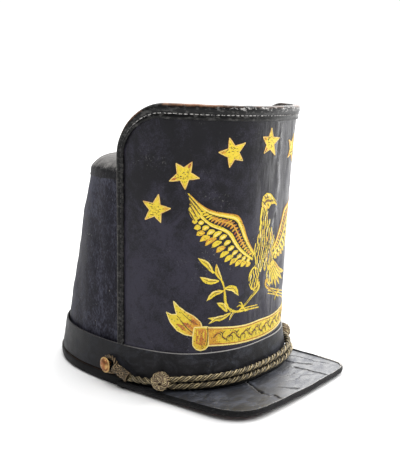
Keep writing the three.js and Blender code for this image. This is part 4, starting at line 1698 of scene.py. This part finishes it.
def painted_point(places, lift):
    """Points over the plate's face for places given along it and up it."""
    places = np.asarray(places, float)
    angle = np.sign(places[..., 0]) * np.interp(np.abs(places[..., 0]), ARC_LENGTHS, ARC_ANGLES)
    return plate_point(angle, places[..., 1], lift)


GOLD, PALE, UMBER = range(3)


class Paint:
    """Lays brush strokes and painted patches on the plate, mirrored while side is -1."""

    def __init__(self, thickness, seed):
        self.side = 1
        self.shape = Shape()
        self.thickness = thickness
        self.random = np.random.default_rng(seed)

    def placed(self, points):
        return np.asarray(points, float) * [self.side, 1]

    def stroke(self, points, widths, colour=GOLD, coat=1, tone=0.3, step=1.1, rough=0.06):
        """A stroke along a smooth line, with a width at evenly spaced places on it."""
        line = smooth_path(self.placed(points), step)
        share = np.linspace(0, 1, len(line))
        width = np.interp(share, np.linspace(0, 1, len(widths)), widths)
        width = width * (1 + rough * self.random.normal(size=len(line)))
        tangent = unit(np.gradient(line, axis=0))
        beside = np.column_stack([-tangent[:, 1], tangent[:, 0]])
        count = max(3, 1 + math.ceil(max(widths) / 2.5))
        offsets = np.linspace(-0.5, 0.5, count)
        places = line[:, None] + offsets[None, :, None] * width[:, None, None] * beside[:, None]
        top = painted_point(places, self.thickness * coat)
        bottom = painted_point(places[:, ::-1], -0.25)
        rings = np.concatenate([top, bottom], 1)
        self.shape.solid(rings, material=colour, tone=tone + 0.12 * self.random.normal())

    def leaf(self, start, stop, width, bow=0.0, coat=1, tone=0.3, vein=False, colour=GOLD):
        """A leaf or feather: a pointed stroke bowed to one side, with a dark vein if that is asked for."""
        start, stop = np.array(start, float), np.array(stop, float)
        along = stop - start
        beside = np.array([-along[1], along[0]])
        middle = (start + stop) / 2 + bow * beside
        widths = [0.25 * width, 0.85 * width, width, 0.8 * width, 0.1]
        self.stroke([start, middle, stop], widths, colour, coat, tone, 0.9)
        if vein:
            inner = [mix(start, middle, 0.3), middle, mix(middle, stop, 0.6)]
            self.stroke(inner, [0.5, 0.45, 0.2], UMBER, coat + 1, 0.5, 1.0)

    def patch(self, outline, colour=GOLD, coat=1, tone=0.3):
        """A flat painted shape with any outline. tone may be a function of the places."""
        places, faces = divided_face(self.placed(outline))
        count = len(places)
        rows = tone(places) if callable(tone) else np.full(count, tone)
        top = painted_point(places, self.thickness * coat)
        bottom = painted_point(places, -0.25)
        first = self.shape.add_points(np.vstack([top, bottom]), {"tone": np.tile(rows, 2)})
        edges = {pair for face in faces for pair in zip(face, (*face[1:], face[0]))}
        border = [(a, b) for a, b in edges if (b, a) not in edges]
        sides = [(b, a, a + count, b + count) for a, b in sorted(border)]
        faces = faces + [tuple(index + count for index in face[::-1]) for face in faces] + sides
        corner = top[list(faces[0][:3])]
        outward = np.cross(corner[1] - corner[0], corner[2] - corner[1])
        if outward @ (corner[0] - [0, CENTRE_Y, corner[0][2]]) < 0:
            faces = [face[::-1] for face in faces]
        self.shape.faces += [tuple(index + first for index in face) for face in faces]
        self.shape.materials += [colour] * len(faces)

    def outline(self, points, width=0.7, colour=PALE, coat=2, tone=0.2):
        """A thin line along the straight edges of a shape."""
        points = np.array(points, float)
        widths = [width * 0.8, width, width * 0.7]
        for start, stop in zip(points, np.roll(points, -1, axis=0)):
            self.stroke([start, mix(start, stop, 0.5), stop], widths, colour, coat, tone, 1.4, 0.18)

    def finish(self, name, colours):
        finishes = [gold_paint(colours), pale_paint(colours), umber_paint(colours)]
        place_piece(name, self.shape, finishes)


def divided_face(outline):
    """A flat outline cut into small faces, so that it can follow the plate's curve."""
    grid = bmesh.new()
    corners = [grid.verts.new((x, z, 0)) for x, z in outline]
    grid.faces.new(corners)
    grid.normal_update()
    bmesh.ops.triangulate(grid, faces=grid.faces[:], ngon_method="EAR_CLIP")
    low, high = outline.min(0), outline.max(0)
    for axis, pitch in ((0, 2.5), (1, 6.0)):
        normal = (1, 0, 0) if axis == 0 else (0, 1, 0)
        for cut in np.arange(math.ceil(low[axis] / pitch) * pitch, high[axis], pitch):
            centre = (cut, 0, 0) if axis == 0 else (0, cut, 0)
            bmesh.ops.bisect_plane(
                grid, geom=grid.verts[:] + grid.edges[:] + grid.faces[:], plane_co=centre, plane_no=normal)
    bmesh.ops.recalc_face_normals(grid, faces=grid.faces[:])
    grid.verts.index_update()
    places = np.array([(vert.co.x, vert.co.y) for vert in grid.verts])
    faces = [tuple(vert.index for vert in face.verts) for face in grid.faces]
    grid.free()
    return places, faces


STARS = [  # place along the plate, height, and turn of the star in degrees
    (98.4, 148.6, 11), (76.9, 176.0, 175), (39.8, 192.4, -90), (1.0, 199.0, 2),
    (-38.5, 192.8, 90), (-77.4, 175.6, 184), (-99.8, 149.2, -8),
]


def star_corners(s, z, turn, reach, random):
    """The ten corners of a hand-painted star."""
    corners = []
    for index in range(10):
        angle = math.radians(turn + 36 * index) + 0.04 * random.normal()
        distance = reach * (1 + 0.06 * random.normal()) if index % 2 == 0 else 0.44 * reach
        corners.append((s - distance * math.sin(angle), z + distance * math.cos(angle)))
    return corners


class CAP_OT_stars(CapOperator, bpy.types.Operator):
    """Paint the arch of stars on the front plate"""

    bl_idname = "cap.stars"
    bl_label = "Painted stars"

    def build(self, scene):
        paint = Paint(scene.cap_sizes.paint / TO_METRES, 71)
        for s, z, turn in STARS:
            corners = star_corners(s, z, turn, scene.cap_sizes.star / TO_METRES, paint.random)
            paint.patch(corners, GOLD, 1, 0.10)
            paint.outline(corners, 0.9, GOLD, 2, 0.95)
            paint.outline(corners, 0.4, PALE, 3, 0.2)
            middle = np.array([s, z])
            for index in range(0, 10, 2):
                tip = np.array(corners[index])
                tone = 1.0 if paint.random.random() < 0.6 else 0.2
                paint.stroke(
                    [mix(middle, tip, 0.50), mix(middle, tip, 0.66), mix(middle, tip, 0.84)],
                    [0.8, 1.9, 0.6], GOLD, 2, tone)
            for _ in range(12):
                spot = middle + paint.random.uniform(-4.6, 4.6, 2)
                reach = paint.random.uniform(0.4, 0.8)
                line = [spot, spot + [reach, 0.3], spot + [2 * reach, 0]]
                paint.stroke(line, [0.4, 1.0, 0.4], UMBER, 3, 0.5)
        paint.finish("painted_stars", scene.cap_colours)


LEADING = [
    (12, 111), (19, 119), (25, 129), (29.5, 138.5), (34.5, 143.8), (44, 145.6), (56, 148.6),
    (65.5, 154.6), (74, 162.8),
]
TRAILING = [
    (17, 101), (25, 102.5), (34, 104), (43.5, 109), (49, 115), (53, 120), (61, 123), (66, 130),
    (69, 138), (72.0, 148), (74.2, 158),
]


class Wing:
    """Places on a wing, by a share along it and a share from its leading edge to its trailing edge."""

    def __init__(self):
        self.lead = smooth_path(LEADING, 0.5)
        self.trail = smooth_path(TRAILING, 0.5)

    def place(self, along, across):
        along = min(along, 1.0)
        lead = self.lead[round(along * (len(self.lead) - 1))]
        trail = self.trail[round(along * (len(self.trail) - 1))]
        return mix(lead, trail, across)

    def line(self, start, stop, across):
        return [self.place(share, across) for share in np.linspace(start, stop, 10)]


def paint_wing(paint):
    """One wing: two gold bands, brown coverts between them, and two rows of scaly feathers."""
    wing = Wing()
    random = paint.random
    paint.stroke(wing.line(0.0, 0.99, 0.05), [2.0, 3.2, 3.4, 2.8, 2.6, 0.8], GOLD, 2, 0.15)
    paint.stroke(wing.line(0.03, 0.97, -0.02), [0.5, 1.0, 0.9, 0.6], GOLD, 3, 1.0)
    paint.stroke(wing.line(0.10, 0.90, 0.06), [0.4, 0.8, 0.7, 0.3], PALE, 3, 0.3)
    for share in np.arange(0.04, 0.80, 0.034):
        wide = 1.6 + 0.4 * random.random()
        tone = 0.95 if 0.15 < share < 0.62 else 0.45
        paint.leaf(wing.place(share, 0.15), wing.place(share + 0.035, 0.37), wide, 0.10, 1, tone)
    paint.stroke(wing.line(0.02, 0.66, 0.24), [0.3, 0.9, 1.1, 0.5], GOLD, 2, 0.7)
    paint.stroke(wing.line(0.0, 0.95, 0.44), [1.6, 2.6, 3.0, 2.6, 2.2, 0.8], GOLD, 2, 0.15)
    paint.stroke(wing.line(0.05, 0.80, 0.46), [0.3, 0.8, 0.6, 0.2], PALE, 3, 0.3)
    for share in np.arange(0.04, 0.86, 0.066):
        start, stop = wing.place(share, 0.53), wing.place(share + 0.035, 0.75)
        paint.leaf(start, stop, 3.9, 0.10, 1, 0.30)
        paint.leaf(mix(start, stop, 0.2), mix(start, stop, 0.8), 1.3, 0.10, 2, 0.3, colour=PALE)
    for share in np.arange(0.01, 0.90, 0.062):
        start, stop = wing.place(share, 0.74), wing.place(share + 0.045, 1.02)
        paint.leaf(start, stop, 4.1, 0.12, 1, 0.45)
        paint.leaf(mix(start, stop, 0.2), mix(start, stop, 0.9), 1.2, 0.14, 2, 0.1)
    for index in range(4):
        start = wing.place(0.76, 0.14 + 0.20 * index)
        stop = wing.place(1.0 - 0.03 * index, 0.10 + 0.30 * index)
        paint.leaf(start, stop, 2.6, -0.05, 3, 0.25)
        start = wing.place(0.78, 0.24 + 0.20 * index)
        stop = wing.place(0.985 - 0.03 * index, 0.24 + 0.26 * index)
        paint.stroke([start, mix(start, stop, 0.5), stop], [0.4, 1.1, 0.7], UMBER, 4, 0.3)


HEAD = [
    (5.5, 146), (6.8, 151), (5.2, 156.5), (0.5, 159), (-5, 158), (-9, 154.6), (-13.5, 151), (-15, 147.2),
    (-11, 149.2), (-6, 149), (-3.6, 146),
]
HEAD_DABS = [(4, 157), (6, 153), (3.5, 151), (1, 157.6), (-1, 150), (-4, 156.6), (-6, 153.4), (5, 148)]
BODY_HEIGHTS = [96, 104, 113, 121, 132, 142, 149]
BODY_LEFT = [4, 12, 15, 10.5, 7.6, 8.0, 6.8]
BODY_RIGHT = [-12, -17, -19, -15, -7.0, -3.8, -3.4]
THIGH_HEIGHTS = [-9, -5, 0, 5, 8]
THIGH_HALVES = [2.0, 5.4, 6.6, 5.4, 2.4]


def paint_dabs(paint, heights, left, right):
    """Rows of small upright dabs, with the dark showing between them."""
    random = paint.random
    for row, z in enumerate(np.arange(heights[-1], heights[0] - 1, -3.5)):
        start, stop = np.interp(z, heights, right), np.interp(z, heights, left)
        count = max(2, round((stop - start) / 2.9))
        for index in range(count):
            share = (index + (0.75 if row % 2 else 0.35)) / (count + 0.1)
            s = mix(start, stop, share) + 0.4 * random.normal()
            colour = PALE if random.random() < 0.15 else GOLD
            lean = 0.9 * random.normal()
            line = [(s, z + 2.2), (s + 0.3 * lean, z), (s + lean, z - 2.4)]
            tone = 0.10 + 0.45 * random.random()
            paint.stroke(line, [0.4, 1.5, 1.3, 0.3], colour, 1, tone)


def paint_body(paint):
    """The head, the neck and the breast."""
    paint.patch(HEAD, GOLD, 1, 0.45)
    for s, z in HEAD_DABS:
        paint.stroke([(s, z), (s - 1.4, z - 1.0), (s - 2.6, z - 2.4)], [0.4, 1.3, 0.3], UMBER, 2, 0.5)
    paint.stroke([(2.5, 156.5), (-3, 157), (-8, 153.4)], [0.5, 1.2, 0.5], PALE, 2, 0.3)
    paint.stroke([(4, 150), (0, 152.6), (-4, 152.2), (-9, 151.6)], [0.8, 2.4, 1.6, 0.4], UMBER, 2, 0.5)
    paint.stroke([(3, 154), (0, 155), (-3, 154.6)], [0.4, 1.0, 0.4], UMBER, 2, 0.5)
    paint.stroke([(-9.5, 152.6), (-12, 151.2), (-13.8, 149.2)], [0.4, 0.7, 0.3], UMBER, 3, 0.5)
    paint_dabs(paint, BODY_HEIGHTS, BODY_LEFT, BODY_RIGHT)
    for foot, top in (((-3.0, 104), (-1.0, 144)), ((4.0, 104), (3.6, 144)), ((-10, 104), (-5, 126))):
        middle = mix(np.array(foot), np.array(top), 0.5)
        paint.stroke([foot, middle + [0.8, 0], top], [0.3, 0.9, 0.8, 0.3], UMBER, 2, 0.5)
    paint.stroke([(6.6, 148), (7.2, 140), (6.2, 131), (7.6, 122)], [0.8, 1.7, 1.5, 0.6], GOLD, 2, 0.1)
    tips = [(-17, 79), (-24.5, 75.5), (-32, 76.5), (-39, 80), (-45, 85.5)]
    for index, tip in enumerate(tips):
        root = (-9 - 1.4 * index, 97 + 1.2 * index)
        paint.leaf(root, tip, 4.2, 0.05 * (index - 2), 1 + index % 2, 0.35, vein=True)


def paint_leg(paint, hip, heel):
    """A feathered thigh, a shank and a foot with four toes."""
    heights = [hip[1] + z for z in THIGH_HEIGHTS]
    left = [hip[0] + half for half in THIGH_HALVES]
    right = [hip[0] - half for half in THIGH_HALVES]
    paint_dabs(paint, heights, left, right)
    ring = [(6.8, -2), (6.2, 4.4), (1.4, 8.6), (-4.4, 6.0)]
    paint.stroke([(hip[0] + s, hip[1] + z) for s, z in ring], [0.6, 1.6, 1.4, 0.8], GOLD, 2, 0.30)
    ring = [(6.4, -4), (2.8, -9.0), (-2.4, -8.6), (-5.6, -2)]
    paint.stroke([(hip[0] + s, hip[1] + z) for s, z in ring], [0.5, 1.4, 1.4, 0.5], GOLD, 2, 0.45)
    knee = (hip[0] - 6.0, hip[1] - 9.5)
    middle = mix(np.array(knee), np.array(heel), 0.55)
    paint.stroke([(knee[0] + 0.5, knee[1] + 5), knee, middle, heel], [2.4, 2.6, 2.0, 1.6], GOLD, 2, 0.4)
    paint.stroke([knee, middle, heel], [0.4, 0.8, 0.4], UMBER, 3, 0.4)
    for reach, drop in [(4.6, 4.2), (6.6, 1.0), (5.2, -3.6), (-2.6, -4.4)]:
        toe = (heel[0] + reach, heel[1] + drop)
        bend = (heel[0] + 0.6 * reach, heel[1] + 0.75 * drop + 1.2)
        paint.stroke([heel, bend, toe], [1.5, 1.3, 0.4], GOLD, 3, 0.4)


class CAP_OT_eagle(CapOperator, bpy.types.Operator):
    """Paint the spread eagle on the front plate"""

    bl_idname = "cap.eagle"
    bl_label = "Painted eagle"

    def build(self, scene):
        paint = Paint(scene.cap_sizes.paint / TO_METRES, 72)
        for paint.side in (1, -1):
            paint_wing(paint)
        paint.side = 1
        paint_body(paint)
        paint_leg(paint, (10.5, 91), (22.5, 68.5))
        paint.side = -1
        paint_leg(paint, (12, 91), (26, 69))
        for drop in (-2.4, 0, 2.4):
            tip = np.array([66 - 1.2 * drop, 58 + 2.2 * drop])
            paint.stroke([(10, 76 + drop), (36, 68 + drop), tip], [0.9, 1.0, 0.9], GOLD, 1, 0.5)
            paint.patch([tip + [4.5, -1.2], tip + [-1.5, 2.2], tip + [-1.0, -1.8]], GOLD, 2, 0.4)
        paint.finish("painted_eagle", scene.cap_colours)


class CAP_OT_branch(CapOperator, bpy.types.Operator):
    """Paint the leafy branch that the eagle holds"""

    bl_idname = "cap.branch"
    bl_label = "Painted branch"

    def build(self, scene):
        paint = Paint(scene.cap_sizes.paint / TO_METRES, 73)
        stem = [
            (2, 64.3), (12, 65), (22, 65.3), (33, 66.6), (39.6, 73), (41.6, 84), (44, 92), (50, 99),
            (57, 105.5),
        ]
        paint.stroke(stem, [0.9, 1.5, 1.7, 2.0, 2.1, 1.7, 1.3, 1.0, 0.5], GOLD, 1, 0.3, rough=0.22)
        paint.stroke([(4, 66.6), (14, 67.2), (24, 67)], [0.6, 1.0, 0.7], GOLD, 1, 0.4)
        leaves = [
            ((52.0, 99.5), (64.6, 112.0), 4.0, 0.08), ((47.0, 93.0), (62.6, 97.0), 4.6, -0.12),
            ((44.6, 93.5), (49.8, 107.0), 3.8, -0.10), ((42.0, 86.5), (28.0, 78.8), 4.8, -0.20),
            ((42.6, 84.5), (56.6, 77.4), 4.2, 0.14), ((38.5, 67.0), (48.0, 75.2), 4.4, 0.10),
            ((35.0, 65.5), (55.0, 63.2), 3.8, -0.12), ((38.5, 63.4), (54.4, 58.6), 3.0, 0.10),
            ((30.0, 66.5), (36.0, 59.6), 1.8, 0.1),
        ]
        for index, (start, stop, width, bow) in enumerate(leaves):
            start, stop = np.array(start), np.array(stop)
            paint.leaf(start, stop, width, bow, 2, 0.10 + 0.12 * (index % 3), True)
            across = np.array([start[1] - stop[1], stop[0] - start[0]])
            edge = mix(start, stop, 0.5) + unit(across) * (0.42 * width) + bow * across
            paint.stroke([mix(start, stop, 0.12), edge, stop], [0.3, 0.7, 0.2], PALE, 3, 0.3)
        paint.finish("painted_branch", scene.cap_colours)


SCROLL_TOP = [(57, 56), (44, 54.8), (30, 53.4), (15, 52.6), (0, 53.0)]
SCROLL_BOTTOM = [(56, 40.4), (44, 39.7), (30, 38.6), (15, 37.8), (0, 37.4)]


def scroll_tone(places):
    """The ribbon turns orange towards its ends."""
    return 0.12 + 0.75 * smooth_share(np.abs(places[:, 0]), 24, 56)


def tail_tone(places):
    """The ribbon's tails turn orange towards the roll."""
    return mix(0.95, 0.15, smooth_share(np.abs(places[:, 0]), 64, 80))


class CAP_OT_scroll(CapOperator, bpy.types.Operator):
    """Paint the ribbon under the eagle, with a leafy vine along it"""

    bl_idname = "cap.scroll"
    bl_label = "Painted ribbon"

    def build(self, scene):
        paint = Paint(scene.cap_sizes.paint / TO_METRES, 74)
        top = SCROLL_TOP + [(-s, z) for s, z in SCROLL_TOP[-2::-1]]
        bottom = SCROLL_BOTTOM + [(-s, z) for s, z in SCROLL_BOTTOM[-2::-1]]
        paint.patch(top + bottom[::-1], GOLD, 1, scroll_tone)
        for line, into in ((top, -1), (bottom, 1)):
            paint.stroke([(s, z + 0.2 * into) for s, z in line], [1.1, 1.0, 1.1], PALE, 3, 0.2)
            paint.stroke([(s, z + 1.4 * into) for s, z in line], [0.5, 0.7, 0.5], GOLD, 2, 1.2)
        self.paint_vine(paint, np.array(top[::-1], float), np.array(bottom[::-1], float))
        for paint.side in (1, -1):
            self.paint_end(paint)
        paint.finish("painted_ribbon", scene.cap_colours)

    def paint_vine(self, paint, top, bottom):
        """A waving stem with a leaf in each bend, in thin dark strokes."""
        s = np.arange(-50, 51, 1.75)
        middle = (np.interp(s, top[:, 0], top[:, 1]) + np.interp(s, bottom[:, 0], bottom[:, 1])) / 2
        pitch = 14.0
        wave = 2.6 * np.sin(2 * np.pi * s / pitch)
        paint.stroke(np.column_stack([s, middle + wave]), [0.8, 0.9, 0.8], UMBER, 3, 0.5, rough=0.25)
        paint.stroke(np.column_stack([s, middle + wave + 0.9]), [0.4, 0.5, 0.4], GOLD, 2, 1.1, rough=0.3)
        for count, place in enumerate(np.arange(-49, 49, pitch / 2)):
            z = np.interp(place, s, middle)
            way = 1 if count % 2 else -1
            for lean in (-1.0, 1.0):
                bow = 0.16 * lean
                start, stop = (place, z - way * 1.2), (place + 2.6 * lean, z + way * 4.4)
                paint.leaf(start, stop, 1.7, bow, 3, 0.6, colour=UMBER)
                start, stop = (place + 0.6 * lean, z), (place + 2.4 * lean, z + way * 3.6)
                paint.leaf(start, stop, 0.7, bow, 4, 0.2)

    def paint_end(self, paint):
        """One end: the ribbon rolls over and its forked tail flies up and out."""
        tail = [
            (66, 49.0), (73, 50.2), (79.5, 53.4), (85, 59.8), (88.4, 68.0), (84, 66.2), (80.0, 66.6),
            (81.4, 71), (82.8, 77.2), (78, 72.6), (72.5, 68.6), (66.5, 65.4), (60.8, 60.2), (59.5, 56),
        ]
        roll = [
            (65.8, 56.2), (55, 56.4), (53.8, 41), (56, 38), (60, 36.8), (64, 38), (66.6, 41.5), (66.9, 49),
        ]
        inside = [(64.4, 54.8), (57.0, 55.0), (55.6, 50), (56.4, 42.6), (60, 41), (64.2, 42.8)]
        paint.patch(tail, GOLD, 1, tail_tone)
        paint.outline(tail, 0.8, PALE, 2, 0.2)
        folds = [
            ((76, 58), (84, 66), 0.1), ((70, 60), (79, 70), 0.2), ((67, 55), (76, 60), 1.2),
            ((68, 62), (75, 67), 0.15), ((72, 53), (80, 59), 1.0), ((64, 58), (70, 63), 1.2),
        ]
        for start, stop, tone in folds:
            paint.leaf(start, stop, 2.8, 0.05, 2, tone)
        paint.stroke([(66, 51), (72, 56), (79.5, 65.6)], [0.5, 0.8, 0.3], UMBER, 3, 0.5)
        paint.stroke([(63, 58.4), (70, 62.6), (77, 69)], [0.4, 0.6, 0.2], UMBER, 3, 0.5)
        paint.patch(roll, GOLD, 3, 0.55)
        paint.patch(inside, GOLD, 4, 1.05)
        paint.outline(roll, 0.9, PALE, 5, 0.15)
        paint.stroke([(55.0, 56), (54.6, 48), (55.4, 41)], [0.6, 0.8, 0.6], UMBER, 6, 0.5)
        for start, stop in (((58, 53), (57.5, 46)), ((61, 50), (62, 43.5)), ((63, 54), (62.6, 49))):
            paint.leaf(start, stop, 1.2, 0.08, 5, 0.5)


STEPS = [
    CAP_OT_stage, CAP_OT_knots, CAP_OT_slides, CAP_OT_tails, CAP_OT_loops, CAP_OT_cords, CAP_OT_buttons,
    CAP_OT_base_rim, CAP_OT_head_band, CAP_OT_crown_body, CAP_OT_crown_top, CAP_OT_front_plate,
    CAP_OT_front_binding, CAP_OT_visor, CAP_OT_visor_binding, CAP_OT_stars, CAP_OT_eagle, CAP_OT_branch,
    CAP_OT_scroll,
]


class CAP_PT_panel(bpy.types.Panel):
    """Lists the steps that build the cap"""

    bl_idname = "CAP_PT_panel"
    bl_label = "Leather Cap"
    bl_space_type = "VIEW_3D"
    bl_region_type = "UI"
    bl_category = "Leather Cap"

    def draw(self, context):
        for step in STEPS:
            self.layout.operator(step.bl_idname)


CLASSES = [CapSizes, CapColours, CapView, *STEPS, CAP_PT_panel]


def register():
    for made in CLASSES:
        bpy.utils.register_class(made)
    bpy.types.Scene.cap_sizes = bpy.props.PointerProperty(type=CapSizes)
    bpy.types.Scene.cap_colours = bpy.props.PointerProperty(type=CapColours)
    bpy.types.Scene.cap_view = bpy.props.PointerProperty(type=CapView)


def unregister():
    del bpy.types.Scene.cap_view
    del bpy.types.Scene.cap_colours
    del bpy.types.Scene.cap_sizes
    for made in reversed(CLASSES):
        bpy.utils.unregister_class(made)


def main():
    register()
    for step in STEPS:
        getattr(bpy.ops.cap, step.bl_idname.split(".")[1])()


if __name__ == "__main__":
    main()
